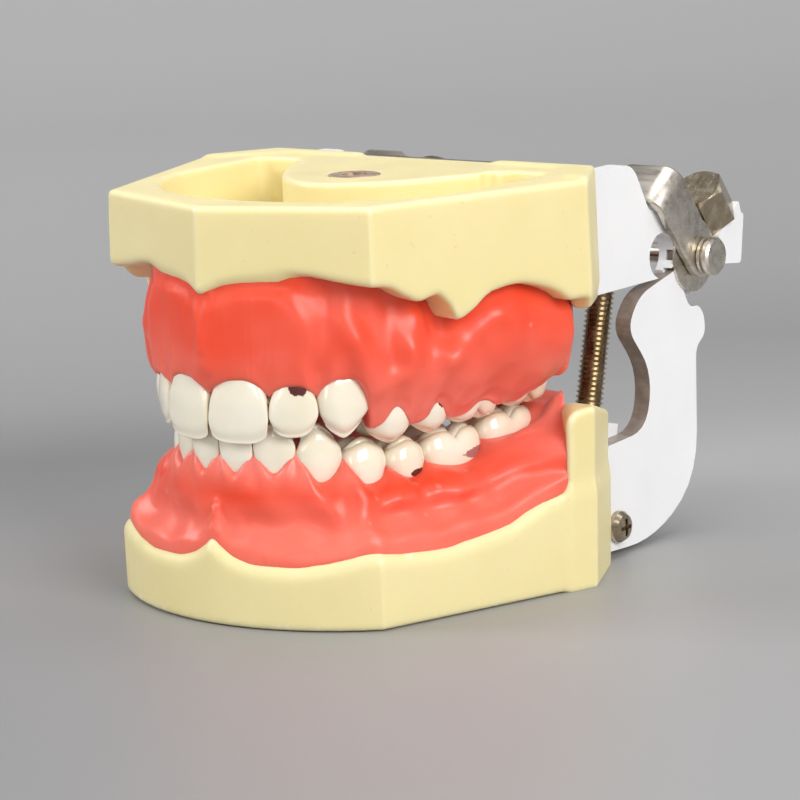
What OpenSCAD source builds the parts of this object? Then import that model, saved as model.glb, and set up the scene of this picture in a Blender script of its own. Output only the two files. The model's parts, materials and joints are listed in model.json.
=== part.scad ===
// Hinged dental teaching model. Two plastic bases carry soft gums and
// twenty-eight screwed-in teeth, and a sheet-metal articulator joins them.
// +X is the model's left, -Y its front (the incisors) and +Z up.
// The origin is on the rest face, under the middle of the lower base.

/* [Bases] */
// Half width of both bases at their side corners
base_half_w = 33; // [32.5:0.1:34]
// How far the front tip stands before the origin
front_reach = 29.3; // [29:0.1:30.5]
// Height of the closed model, from rest face to top face
closed_h = 55; // [54.8:0.1:56]
// Depth of the horseshoe recess that gives access to the tooth screws
recess_depth = 7.5; // [7:0.1:8]
// Height of the lower base's wall below the gum
lower_wall = 10.5; // [10:0.1:11]
// Height of the upper base's wall above the gum
upper_wall = 11.5; // [11:0.1:12]

/* [Gums and teeth] */
// Level where the upper crowns leave the plain upper gum
upper_neck = 31; // [30.5:0.1:31.5]
// Level where the lower crowns leave the plain lower gum
lower_neck = 17; // [16.5:0.1:17.2]
// Gap between the upper and lower biting surfaces at rest
bite_gap = 0.3; // [0.2:0.05:0.6]
// Diameter of the root peg behind each crown
peg_d = 3.6; // [3.2:0.1:3.8]
// Diameter of a tooth screw's shank
tooth_screw_d = 2; // [1.6:0.1:2.2]

/* [Articulator] */
// Thickness of the cheeks and arms
plate_t = 2.5; // [2.4:0.1:2.6]
// Outer face of the cheeks and arms, from the middle
plate_outer = 26; // [25.8:0.1:26.2]
// Diameter of the hinge axle
axle_d = 3; // [2.8:0.1:3.2]
// Thickness of the bail's strip
bail_t = 1.5; // [1.2:0.1:1.6]
// Width of the bail's legs
bail_w = 6; // [5.5:0.1:6.4]
// Distance of the bite screws from the middle
bite_screw_x = 20.5; // [20.3:0.1:20.6]

/* [Hidden] */
$fn = 48;
fit_gap = 0.05;            // clearance between separate pieces
end_gap = 0.03;            // clearance between faces that rest on each other
over = 1;                  // how far a cutter runs past a face
hull_fn = 20;

// Hinge axis and the bail's lean, in the side view (Y, Z)
hinge_y = 48.5;
hinge_z = 39.3;
bail_lean = 37.9;
bail_reach = 13;           // axle to the underside of the bail's web

// Outlines
canine_corner = [22, -21];
side_corner = [base_half_w, 11.8];
heel_corner = [27, 22.5];
back_y = heel_corner[1];
recess_end = 15.3;
island_half_w = 17.6;
island_front = -5;
island_slope = recess_end - island_front;
insert_y = 4.65;
insert_r = 3.5;
insert_l = 8;
m4_drill_r = 1.65;
m4_r = 2;
m4_pitch = 0.7;
m4_af = 7;

// Levels of the bases, ridges and rear blocks
upper_floor = closed_h - upper_wall;
upper_ridge = upper_neck + 3;
lower_ridge = lower_neck - 1.5;
upper_rear = 36;
lower_rear = 22.5;
palate_z = upper_floor - 3;

// Each tooth: width along the arch, depth across it, turn of its face from
// the front, narrowing towards the tongue, lean of the root
UPPER = [[8.7, 7.0, 14, 0.50, 20], [6.6, 6.2, 40, 0.50, 18],
         [7.3, 7.6, 58, 0.50, 14], [6.8, 8.8, 68, 0.72, 8],
         [6.5, 8.8, 76, 0.78, 6], [10.0, 10.8, 82, 0.84, 4],
         [9.3, 10.4, 80, 0.84, 4]];
LOWER = [[5.1, 6.0, 8, 0.50, 14], [5.4, 6.2, 30, 0.45, 12],
         [6.5, 7.4, 55, 0.45, 10], [6.9, 7.6, 64, 0.72, 8],
         [7.0, 8.0, 74, 0.78, 6], [10.8, 10.2, 80, 0.84, 4],
         [10.2, 9.8, 83, 0.84, 4]];
upper_face_y = -28.4;      // front teeth's faces at the middle
lower_face_y = -25.2;
upper_edges = [24.2, 24.9, 24.4];   // biting edges of the front teeth
lower_edges = [26.6, 26.4, 26.2];
first_premolar = 3;        // index of the first back tooth
last_tooth = 6;
side_gap = [1.2, 0.35];    // how much narrower than its place a front or back crown is
screw_head_r = 1.5;        // tooth screw
screw_head_h = 1.3;
side_names = [-1, 1];

CREAM = [0.93, 0.88, 0.66];
CORAL = [0.93, 0.38, 0.31];
IVORY = [0.95, 0.93, 0.86];
WHITE = [0.93, 0.94, 0.95];
STEEL = [0.66, 0.62, 0.57];
BRASS = [0.62, 0.52, 0.42];

// ---------- small helpers ----------

function unit(v) = v / norm(v);

// Half outline from front to back, completed with its mirror image
function both_sides(half) = concat(half,
  [for (i = [len(half) - 1:-1:0]) if (half[i][0] > 0) [-half[i][0], half[i][1]]]);

// Corner q between a and b, rounded over the length r
function soft_corner(a, q, b, r, n) = let (s = q + r * unit(a - q), e = q + r * unit(b - q))
  [for (k = [0:n]) let (t = k / n) (1 - t) * (1 - t) * s + 2 * t * (1 - t) * q + t * t * e];

// Closed outline of [y, z, corner length] rows with its corners rounded
function soft(rows, n = 5) = [for (i = [0:len(rows) - 1])
  let (c = len(rows), q = rows[i], a = rows[(i + c - 1) % c], b = rows[(i + 1) % c])
  each (q[2] == 0 ? [[q[0], q[1]]]
    : soft_corner([a[0], a[1]], [q[0], q[1]], [b[0], b[1]], q[2], n))];

// Draws a (Y, Z) outline as a plate from x0 to x1
module side_plate(x0, x1) {
  translate([x0, 0, 0]) rotate([90, 0, 90]) linear_extrude(x1 - x0) children();
}

// Rod of radius r along +X from x0 to x1, at a place in the side view
module cross_rod(y, z, r, x0, x1) {
  translate([x0, y, z]) rotate([0, 90, 0]) cylinder(r = r, h = x1 - x0);
}

module left_and_right() {
  for (s = side_names) scale_side(s) children();
}

module scale_side(s) {
  if (s > 0) children();
  else mirror([1, 0, 0]) children();
}

module hex_bar(af, h) {
  cylinder(r = af / 2 / cos(30), h = h, $fn = 6);
}

// Pan-head screw along +Z: head above z = 0, shank below
module pan_screw(head_r, head_h, shank_r, shank_l) {
  difference() {
    union() {
      rotate_extrude() polygon([[0, 0], [head_r, 0], [head_r, head_h * 0.45],
        [head_r * 0.8, head_h * 0.85], [head_r * 0.45, head_h], [0, head_h]]);
      translate([0, 0, -shank_l]) cylinder(r = shank_r, h = shank_l);
    }
    for (a = [0, 90]) rotate(a)
      translate([-head_r * 0.55, -head_r * 0.13, head_h * 0.45])
        cube([head_r * 1.1, head_r * 0.26, head_h]);
  }
}

// ---------- the dental arch ----------

// Points where neighbouring teeth meet, from the middle to the last molar
function arch_points(rows, face_y) = [for (i = 0, p = [0, face_y]; i <= len(rows);
  p = i < len(rows) ? p + rows[i][0] * [cos(rows[i][2]), sin(rows[i][2])] : p, i = i + 1) p];

// Direction out of the mouth at each of those points
function turn_at(rows, k) = k == 0 ? 0
  : k >= len(rows) ? rows[len(rows) - 1][2]
  : (rows[k - 1][2] + rows[k][2]) / 2;
function outward(rows, k) = let (a = turn_at(rows, k)) [sin(a), -cos(a)];

// Arch line moved outwards by f0 at the front and f1 at the back, and
// drawn on past the last molar by tail
function arch_line(rows, face_y, f0, f1, tail) =
  let (p = arch_points(rows, face_y), n = len(rows),
       line = [for (k = [0:n]) p[k] + (f0 + (f1 - f0) * min(1, k / 4)) * outward(rows, k)])
  concat(line, [line[n] + [0, tail]]);

// Horseshoe between an outer and an inner arch line
module horseshoe(rows, face_y, out0, out1, in0, in1, tail, z0, z1) {
  outer = both_sides(arch_line(rows, face_y, out0, out1, tail));
  inner = both_sides(arch_line(rows, face_y, -in0, -in1, tail + over));
  translate([0, 0, z0]) linear_extrude(z1 - z0) difference() {
    polygon(outer);
    polygon(inner);
  }
}

function bite_level(y) = 22.9 + 0.05 * max(0, y + 13);
function tooth_mid(rows, face_y, i) =
  let (p = arch_points(rows, face_y)) (p[i] + p[i + 1]) / 2;
function tooth_place(rows, face_y, i) = let (m = tooth_mid(rows, face_y, i), r = rows[i])
  m + r[1] / 2 * [-sin(r[2]), cos(r[2])];

function crown_h(upper, i) =
  let (y = tooth_mid(upper ? UPPER : LOWER, upper ? upper_face_y : lower_face_y, i)[1])
  upper ? upper_neck - (i < first_premolar ? upper_edges[i] : bite_level(y) + bite_gap)
        : (i < first_premolar ? lower_edges[i] : bite_level(y)) - lower_neck;

// Puts a root-up tooth, or what belongs to it, in its place on one side
module at_tooth(upper, side, i) {
  rows = upper ? UPPER : LOWER;
  place = tooth_place(rows, upper ? upper_face_y : lower_face_y, i);
  scale_side(side) translate([place[0], place[1], upper ? upper_neck : lower_neck])
    mirror([0, 0, upper ? 0 : 1]) rotate(rows[i][2]) children();
}

// Root axis of a tooth: leans towards the tongue as it leaves the crown
module along_root(rows, i) {
  rotate([-rows[i][4], 0, 0]) children();
}

// One level of a crown: four corners, narrower on the tongue side
module crown_level(w, d0, d1, tongue, z) {
  r = min(w, d1 - d0) * 0.3;
  translate([0, 0, z - 0.1]) {
    for (s = side_names) {
      translate([s * (w / 2 - r), d0 + r, 0]) cylinder(r = r, h = 0.1, $fn = hull_fn);
      translate([s * (w / 2 * tongue - r * tongue), d1 - r, 0])
        cylinder(r = r * tongue, h = 0.1, $fn = hull_fn);
    }
  }
}

module tooth(upper, side, i) {
  rows = upper ? UPPER : LOWER;
  front = i < first_premolar;
  w = rows[i][0] - side_gap[front ? 0 : 1];
  d = rows[i][1];
  tongue = rows[i][3];
  h = crown_h(upper, i);
  edge_back = front ? -d / 2 + 1.9 : d * 0.38;
  edge_front = -d / 2 + (upper ? 0.2 : 0.8);
  peg_l = upper ? 9 : 5.2;
  color(IVORY) at_tooth(upper, side, i) difference() {
    union() {
      hull() {
        crown_level(w * 0.72, -d * 0.42, d * 0.4, tongue, 0);
        crown_level(w, -d / 2, front ? d * 0.15 : d * 0.45, tongue, -h * 0.45);
        crown_level(w * 0.9, edge_front, edge_back, tongue, -h + 0.1);
      }
      along_root(rows, i) translate([0, 0, -1]) cylinder(d = peg_d, h = peg_l + 1);
    }
    along_root(rows, i) translate([0, 0, peg_l - 3.2])
      cylinder(d = tooth_screw_d + 2 * fit_gap, h = 3.2 + over);
  }
}

// Height of a screw head's seat above the neck, along the root
function seat_h(upper) = upper ? closed_h - recess_depth - upper_neck - 0.6
  : lower_neck - recess_depth - 0.6;

module tooth_screws(upper) {
  rows = upper ? UPPER : LOWER;
  shank_l = seat_h(upper) - (upper ? 9 : 5.2) + 2.8;
  for (side = side_names, i = [0:last_tooth]) at_tooth(upper, side, i) along_root(rows, i)
    translate([0, 0, seat_h(upper) + end_gap])
      pan_screw(screw_head_r, screw_head_h, tooth_screw_d / 2, shank_l);
}

// Sockets, screw holes and head seats cut into a base
module tooth_sockets(upper) {
  rows = upper ? UPPER : LOWER;
  for (side = side_names, i = [0:last_tooth]) at_tooth(upper, side, i) along_root(rows, i) {
    translate([0, 0, -3]) cylinder(d = peg_d + 2 * fit_gap, h = (upper ? 9 : 5.2) + 3 + 0.1);
    cylinder(d = tooth_screw_d + 2 * fit_gap, h = seat_h(upper) + over);
    translate([0, 0, seat_h(upper)]) cylinder(r = screw_head_r + 2 * fit_gap, h = 6);
  }
}

module peg_holes(upper) {
  rows = upper ? UPPER : LOWER;
  for (side = side_names, i = [0:last_tooth]) at_tooth(upper, side, i) along_root(rows, i)
    translate([0, 0, -3]) cylinder(d = peg_d + 4 * fit_gap, h = upper ? 20 : 12);
}

// ---------- bases ----------

function upper_outline() = both_sides([[0, -front_reach], canine_corner, side_corner, heel_corner]);

// The lower base has a rounded front, an arc through both canine corners
function front_arc() = let (c = canine_corner, rise = front_reach + c[1],
    r = (c[0] * c[0] + rise * rise) / (2 * rise), a = asin(c[0] / r))
  [for (k = [0:8]) let (t = a * k / 8) [r * sin(t), r - front_reach - r * cos(t)]];
function lower_outline() = both_sides(concat(front_arc(), [side_corner, heel_corner]));

// Rear block on each side, behind the last molar
module rear_blocks(z0, z1) {
  left_and_right() translate([0, 0, z0]) linear_extrude(z1 - z0)
    polygon([[13, back_y - 2], [23.5, back_y - 2], [base_half_w - 1.2, side_corner[1] + 0.8],
      side_corner, heel_corner, [13, back_y]]);
}

// Horseshoe recess around a central island, for access to the tooth screws
module recess(z0, z1) {
  outer = both_sides(concat([for (a = [0:10:90]) [24.5 * sin(a), -21.6 * cos(a)]],
    [[24.5, recess_end]]));
  island = both_sides([for (k = [0:8]) let (x = island_half_w * k / 8)
    [x, island_front + island_slope * pow(x / island_half_w, 2) + (k == 8 ? over : 0)]]);
  translate([0, 0, z0]) linear_extrude(z1 - z0) difference() {
    polygon(outer);
    polygon(island);
  }
}

// Blind holes for bracket screws in the back wall of a base
function bracket_screw_x(upper) = upper ? [10, 19.5] : [5, 13];
function bracket_screw_z(upper) = upper ? 46.5 : 8;
bracket_screw_r = 1.5;
bracket_screw_l = 8;

module bracket_screw_holes(upper) {
  left_and_right() for (x = bracket_screw_x(upper))
    translate([x, back_y + over, bracket_screw_z(upper)]) rotate([90, 0, 0])
      cylinder(r = bracket_screw_r + fit_gap, h = bracket_screw_l + over);
}

module lower_base() {
  color(CREAM) difference() {
    union() {
      linear_extrude(lower_wall) polygon(lower_outline());
      horseshoe(LOWER, lower_face_y, -1.6, -1.6, 7.2, 10, 2, lower_wall - over, lower_ridge);
      rear_blocks(lower_wall - over, lower_rear);
    }
    recess(-over, recess_depth);
    tooth_sockets(false);
    bracket_screw_holes(false);
    translate([0, insert_y, -over]) cylinder(r = insert_r + fit_gap, h = insert_l + over);
  }
}

module upper_base() {
  color(CREAM) difference() {
    union() {
      translate([0, 0, upper_floor]) linear_extrude(upper_wall) polygon(upper_outline());
      horseshoe(UPPER, upper_face_y, -1.8, -1.8, 8, 11, 2, upper_ridge, upper_floor + over);
      rear_blocks(upper_rear, upper_floor + over);
    }
    recess(closed_h - recess_depth, closed_h + over);
    tooth_sockets(true);
    bracket_screw_holes(true);
    translate([0, insert_y, closed_h - insert_l])
      cylinder(r = insert_r + fit_gap, h = insert_l + over);
  }
}

// ---------- gums ----------

module lower_gum() {
  step = (lower_ridge + lower_wall) / 2;
  color(CORAL) difference() {
    union() {
      horseshoe(LOWER, lower_face_y, 2.2, 6.4, 9, 12, 0.9, lower_wall + end_gap, step);
      horseshoe(LOWER, lower_face_y, 1.6, 3.6, 8.4, 11.4, 0.9, step - over, lower_neck - end_gap);
    }
    horseshoe(LOWER, lower_face_y, -1.6 + fit_gap, -1.6 + fit_gap, 7.2 + fit_gap,
      10 + fit_gap, 2.1, 0, lower_ridge + end_gap);
    rear_blocks(0, closed_h);
    peg_holes(false);
  }
}

module upper_gum() {
  step = (upper_ridge + upper_floor) / 2;
  color(CORAL) difference() {
    union() {
      horseshoe(UPPER, upper_face_y, 1, 4.6, 9.8, 12.8, 1.8, step, upper_floor - end_gap);
      horseshoe(UPPER, upper_face_y, 1.2, 3, 9.4, 12.4, 1.8, upper_neck + end_gap, step + over);
      translate([0, 0, palate_z]) linear_extrude(upper_floor - end_gap - palate_z)
        polygon(both_sides(arch_line(UPPER, upper_face_y, -9, -12, 1.8)));
    }
    horseshoe(UPPER, upper_face_y, -1.8 + fit_gap, -1.8 + fit_gap, 8 + fit_gap,
      11 + fit_gap, 2.1, upper_ridge - end_gap, closed_h);
    rear_blocks(0, closed_h);
    peg_holes(true);
  }
}

// ---------- threaded inserts and tooth screws ----------

module insert(z) {
  color(BRASS) translate([0, insert_y, z]) difference() {
    cylinder(r = insert_r, h = insert_l - 2 * end_gap);
    translate([0, 0, -over]) cylinder(r = m4_drill_r, h = insert_l + 2 * over);
  }
}

module lower_insert() { insert(0); }
module upper_insert() { insert(closed_h - insert_l + 2 * end_gap); }
module lower_tooth_screws() { color(STEEL) tooth_screws(false); }
module upper_tooth_screws() { color(STEEL) tooth_screws(true); }

// ---------- articulator ----------

plate_inner = plate_outer - plate_t;
lap = plate_inner + plate_t / 2;       // where cheek and arm share the thickness
washer_t = 0.4;
bail_inner = plate_outer + washer_t + 2 * fit_gap;
bail_outer = bail_inner + bail_t;
web_y = back_y + 2 * end_gap;          // front face of both webs
web_t = plate_t;
knuckle_r = 4.5;
eye_r = 6;
arm_screw = [27.6, 4.2];
lower_web_z = [1, 16];
upper_web_z = [37.2, 54.1];

// Bite screw: axis leans back in the side view
bite_lean = 13.6;
bite_foot = [26.6, 8.3];
bite_l = 29.3;
lug_from = 4.4;
lug_l = 6;

module along_bite_screw() {
  translate([bite_screw_x, bite_foot[0], bite_foot[1]]) rotate([-bite_lean, 0, 0]) children();
}

// Bail frame: local Z runs up a leg from the axle, local Y across it
module along_bail() {
  translate([0, hinge_y, hinge_z]) rotate([bail_lean, 0, 0]) children();
}

// C-shaped arm from the lower bracket up to the hinge
function arm_outline() = soft([
  [24.5, 1.0, 1.5], [36.5, 0.4, 6], [48.8, 6.4, 7.5], [49.1, 26.0, 1.5],
  [51.7, 27.4, 1.4], [51.4, 30.4, 1.2], [49.9, 31.9, 0.9], [47.6, 31.9, 1.1],
  [46.0, 34.6, 1.0], [46.2, 36.5, 0.3], [48.5, 38.5, 0],
  [44.6, 37.9, 1], [34.6, 35.6, 2.5], [31.4, 31.4, 2.5], [37.4, 24.4, 4],
  [35.9, 16.4, 4], [24.5, 15.8, 1]]);

module arm() {
  difference() {
    union() {
      side_plate(plate_inner, plate_outer) polygon(arm_outline());
      cross_rod(hinge_y, hinge_z, knuckle_r, plate_inner, plate_outer);
    }
    cross_rod(hinge_y, hinge_z, eye_r + 0.3, plate_inner - over, lap + fit_gap);
    cross_rod(hinge_y, hinge_z, axle_d / 2 + end_gap, 0, closed_h);
    cross_rod(arm_screw[0], arm_screw[1], bracket_screw_r + fit_gap, 0, closed_h);
  }
}
module arm_left() { color(WHITE) arm(); }
module arm_right() { color(WHITE) mirror([1, 0, 0]) arm(); }

module arm_screws() {
  color(STEEL) left_and_right()
    translate([plate_outer + end_gap, arm_screw[0], arm_screw[1]]) rotate([0, 90, 0])
      pan_screw(2.2, 1.6, bracket_screw_r, 4.6);
}

// Lower bracket: web on the back wall, flanges for the arms, screw lugs
module lower_bracket() {
  flange_x = plate_inner - end_gap;
  color(WHITE) difference() {
    union() {
      translate([-flange_x, web_y, lower_web_z[0]])
        cube([2 * flange_x, web_t, lower_web_z[1] - lower_web_z[0]]);
      left_and_right() {
        side_plate(flange_x - plate_t, flange_x) polygon(soft([
          [web_y, 1, 0], [33, 1, 3], [33, 15, 3], [web_y, 16, 0]]));
        intersection() {
          along_bite_screw() translate([-3.5, -4.5, lug_from]) cube([6.4, 8, lug_l]);
          translate([0, web_y, 0]) cube([flange_x, 40, closed_h]);
        }
      }
    }
    left_and_right() {
      along_bite_screw() translate([0, 0, -over])
        cylinder(r = m4_r + fit_gap, h = bite_l);
      cross_rod(arm_screw[0], arm_screw[1], bracket_screw_r + fit_gap, 0, closed_h);
    }
    bracket_web_holes(false);
  }
}

module bracket_web_holes(upper) {
  left_and_right() for (x = bracket_screw_x(upper))
    translate([x, web_y + web_t + over, bracket_screw_z(upper)]) rotate([90, 0, 0])
      cylinder(r = bracket_screw_r + fit_gap, h = web_t + 2 * over);
}

module bracket_screws(upper) {
  color(STEEL) left_and_right() for (x = bracket_screw_x(upper))
    translate([x, web_y + web_t + end_gap, bracket_screw_z(upper)]) rotate([-90, 0, 0])
      pan_screw(2.8, 1.9, bracket_screw_r, web_t + bracket_screw_l - 0.5);
}
module lower_bracket_screws() { bracket_screws(false); }
module upper_bracket_screws() { bracket_screws(true); }

// Seat of a stop screw in the side view: distance across and along the bail
stop_across = 8.85;
stop_seat = -1.7;
stop_x = 24.2;
stop_head_h = 6;
lug_half = 3;

module along_stop_screw() {
  translate([stop_x, 0, 0]) along_bail() translate([0, stop_across, stop_seat]) children();
}

// Cheek of the upper bracket, with the rear lug behind the hinge
function cheek_outline() = soft([
  [web_y, upper_web_z[0], 0], [39.8, upper_web_z[0], 0.8], [44.4, 38.6, 0],
  [53.4, 38.6, 0.5], [53.8, 37.3, 0.5], [59.8, 36.6, 0.6], [60.7, 43.6, 0.4],
  [60.0, 43.9, 0.2], [59.4, 45.6, 0.2], [53.4, 41.0, 0.4], [51.2, 44.6, 1.5],
  [46.5, 46.8, 2], [37.6, 46.9, 1.2], [33.6, 54.1, 2.5], [web_y, upper_web_z[1], 0]]);

module cheek() {
  difference() {
    union() {
      difference() {
        side_plate(plate_inner, plate_outer) polygon(cheek_outline());
        cross_rod(hinge_y, hinge_z, knuckle_r + 0.4, lap - fit_gap, plate_outer + over);
      }
      cross_rod(hinge_y, hinge_z, eye_r, plate_inner, lap - fit_gap);
      rear_lug();
    }
    cross_rod(40.6, 40.3, 3.2, plate_inner - over, plate_outer + over);
    cross_rod(hinge_y, hinge_z, axle_d / 2 + fit_gap, 0, closed_h);
    along_stop_screw() translate([0, 0, -10]) cylinder(r = m4_r + fit_gap, h = 20);
    along_stop_screw() cylinder(r = m4_af, h = 12);
  }
}

// Thicker lug that holds a stop screw, cut from the same side view
module rear_lug() {
  intersection() {
    side_plate(stop_x - lug_half, stop_x + lug_half) polygon(cheek_outline());
    translate([0, hinge_y + 5.4, 0]) cube([closed_h, 20, closed_h]);
  }
}

// Upper bracket: web on the back wall, cheeks and the bite screw shelves
module upper_bracket() {
  color(WHITE) difference() {
    union() {
      translate([-plate_outer, web_y, upper_web_z[0]])
        cube([2 * plate_outer, web_t, upper_web_z[1] - upper_web_z[0]]);
      left_and_right() {
        cheek();
        translate([bite_screw_x - 3.5, web_y, upper_web_z[0]])
          cube([plate_inner - bite_screw_x + 3.6, 14.5, plate_t]);
      }
    }
    bracket_web_holes(true);
  }
}

// Axle across both arms, with a grooved head at each end
module hinge_axle() {
  head_r = 2.7;
  head_l = 2.1;
  seat = bail_outer + fit_gap;
  color(STEEL) translate([0, hinge_y, hinge_z]) rotate([0, 90, 0]) union() {
    translate([0, 0, -seat]) cylinder(d = axle_d, h = 2 * seat);
    for (s = [0, 1]) mirror([0, 0, s]) translate([0, 0, seat])
      rotate_extrude() polygon([[0, 0], [head_r - 0.3, 0], [head_r, 0.3], [head_r, 0.7],
        [head_r - 0.4, 0.8], [head_r - 0.4, 1.1], [head_r, 1.2], [head_r, head_l - 0.3],
        [head_r - 0.3, head_l], [0, head_l]]);
  }
}
module hinge_washers() {
  color(STEEL) left_and_right() difference() {
    cross_rod(hinge_y, hinge_z, 5.2, plate_outer + end_gap, plate_outer + end_gap + washer_t);
    cross_rod(hinge_y, hinge_z, axle_d / 2 + end_gap, 0, closed_h);
  }
}

// Bail: two legs on the axle and a web across, bent round and wider at its shoulders
bail_bend = 2.2;           // outer radius of each bend
shoulder_w = bail_w + 0.8;
shoulder_l = 5;

module bail_shoulder() {
  leg_l = bail_reach + bail_t;
  translate([bail_inner, -shoulder_w / 2, leg_l - shoulder_l])
    cube([bail_t, shoulder_w, shoulder_l - bail_bend]);
  translate([bail_outer - 8, -shoulder_w / 2, bail_reach])
    cube([8 - bail_bend, shoulder_w, bail_t]);
  translate([bail_outer - bail_bend, -shoulder_w / 2, leg_l - bail_bend])
    rotate([-90, 0, 0]) intersection() {
      difference() {
        cylinder(r = bail_bend, h = shoulder_w);
        translate([0, 0, -over]) cylinder(r = bail_bend - bail_t, h = shoulder_w + 2 * over);
      }
      translate([0, -bail_bend, 0]) cube([bail_bend, bail_bend, shoulder_w]);
    }
}

module bail() {
  color(STEEL) along_bail() union() {
    left_and_right() difference() {
      union() {
        translate([bail_inner, -bail_w / 2, 0])
          cube([bail_t, bail_w, bail_reach + bail_t - bail_bend]);
        translate([bail_inner, 0, 0]) rotate([0, 90, 0]) cylinder(d = bail_w, h = bail_t);
      }
      translate([bail_inner - over, 0, 0]) rotate([0, 90, 0])
        cylinder(d = axle_d + 2 * fit_gap, h = bail_t + 2 * over);
    }
    left_and_right() bail_shoulder();
    translate([-bail_outer + 4, -2.4, bail_reach]) cube([2 * bail_outer - 8, 4.8, bail_t]);
  }
}

// Threaded rod: ridged outline turned about its own axis
module threaded(r, pitch, l) {
  n = floor(l / pitch);
  depth = 0.6 * pitch;
  rotate_extrude() polygon(concat([[0, 0], [r - depth, 0]],
    [for (k = [0:n - 1]) each [[r, (k + 0.5) * pitch], [r - depth, (k + 1) * pitch]]],
    [[r - depth, l], [0, l]]));
}

// Bite screw: set screw with a hexagon socket in its foot
module bite_screw() {
  along_bite_screw() difference() {
    threaded(m4_r, m4_pitch, bite_l);
    translate([0, 0, -over]) hex_bar(2, 2 + over);
  }
}
module bite_screw_left() { color(STEEL) bite_screw(); }
module bite_screw_right() { color(STEEL) mirror([1, 0, 0]) bite_screw(); }

// Stop screw: tall hexagon head on the lug, shank out of its underside
module stop_screw() {
  shank_l = 7.2;
  along_stop_screw() union() {
    translate([0, 0, end_gap]) intersection() {
      hex_bar(m4_af, stop_head_h);
      rotate_extrude() polygon([[0, 0], [m4_af * 0.6, 0], [m4_af * 0.6, stop_head_h - 0.7],
        [m4_af * 0.48, stop_head_h], [0, stop_head_h]]);
    }
    translate([0, 0, -shank_l]) threaded(m4_r, m4_pitch, shank_l + end_gap);
  }
}
module stop_screw_left() { color(STEEL) stop_screw(); }
module stop_screw_right() { color(STEEL) mirror([1, 0, 0]) stop_screw(); }

// ---------- teeth, named by jaw, side and kind ----------

LEFT = 1;
RIGHT = -1;
module upper_left_central_incisor() { tooth(true, LEFT, 0); }
module upper_left_lateral_incisor() { tooth(true, LEFT, 1); }
module upper_left_canine() { tooth(true, LEFT, 2); }
module upper_left_first_premolar() { tooth(true, LEFT, 3); }
module upper_left_second_premolar() { tooth(true, LEFT, 4); }
module upper_left_first_molar() { tooth(true, LEFT, 5); }
module upper_left_second_molar() { tooth(true, LEFT, 6); }
module upper_right_central_incisor() { tooth(true, RIGHT, 0); }
module upper_right_lateral_incisor() { tooth(true, RIGHT, 1); }
module upper_right_canine() { tooth(true, RIGHT, 2); }
module upper_right_first_premolar() { tooth(true, RIGHT, 3); }
module upper_right_second_premolar() { tooth(true, RIGHT, 4); }
module upper_right_first_molar() { tooth(true, RIGHT, 5); }
module upper_right_second_molar() { tooth(true, RIGHT, 6); }
module lower_left_central_incisor() { tooth(false, LEFT, 0); }
module lower_left_lateral_incisor() { tooth(false, LEFT, 1); }
module lower_left_canine() { tooth(false, LEFT, 2); }
module lower_left_first_premolar() { tooth(false, LEFT, 3); }
module lower_left_second_premolar() { tooth(false, LEFT, 4); }
module lower_left_first_molar() { tooth(false, LEFT, 5); }
module lower_left_second_molar() { tooth(false, LEFT, 6); }
module lower_right_central_incisor() { tooth(false, RIGHT, 0); }
module lower_right_lateral_incisor() { tooth(false, RIGHT, 1); }
module lower_right_canine() { tooth(false, RIGHT, 2); }
module lower_right_first_premolar() { tooth(false, RIGHT, 3); }
module lower_right_second_premolar() { tooth(false, RIGHT, 4); }
module lower_right_first_molar() { tooth(false, RIGHT, 5); }
module lower_right_second_molar() { tooth(false, RIGHT, 6); }

lower_base();
lower_gum();
lower_insert();
lower_tooth_screws();
lower_bracket();
lower_bracket_screws();
arm_left();
arm_right();
arm_screws();
hinge_axle();
hinge_washers();
bite_screw_left();
bite_screw_right();
upper_base();
upper_gum();
upper_insert();
upper_tooth_screws();
upper_bracket();
upper_bracket_screws();
bail();
stop_screw_left();
stop_screw_right();
upper_left_central_incisor();
upper_left_lateral_incisor();
upper_left_canine();
upper_left_first_premolar();
upper_left_second_premolar();
upper_left_first_molar();
upper_left_second_molar();
upper_right_central_incisor();
upper_right_lateral_incisor();
upper_right_canine();
upper_right_first_premolar();
upper_right_second_premolar();
upper_right_first_molar();
upper_right_second_molar();
lower_left_central_incisor();
lower_left_lateral_incisor();
lower_left_canine();
lower_left_first_premolar();
lower_left_second_premolar();
lower_left_first_molar();
lower_left_second_molar();
lower_right_central_incisor();
lower_right_lateral_incisor();
lower_right_canine();
lower_right_first_premolar();
lower_right_second_premolar();
lower_right_first_molar();
lower_right_second_molar();
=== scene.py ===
"""Looks of the hinged dental teaching model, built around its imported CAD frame.

Shapes are worked out in millimetres, in the frame's own axes, and turned into metres when
a mesh is made. Bases and gums are the zero level of a signed distance on a grid; crowns are
lofted rings. Metalwork keeps its CAD mesh, with a bevel and a procedural finish.
"""

import json
import math

import bpy
import numpy as np
from mathutils import Matrix, Vector


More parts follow.
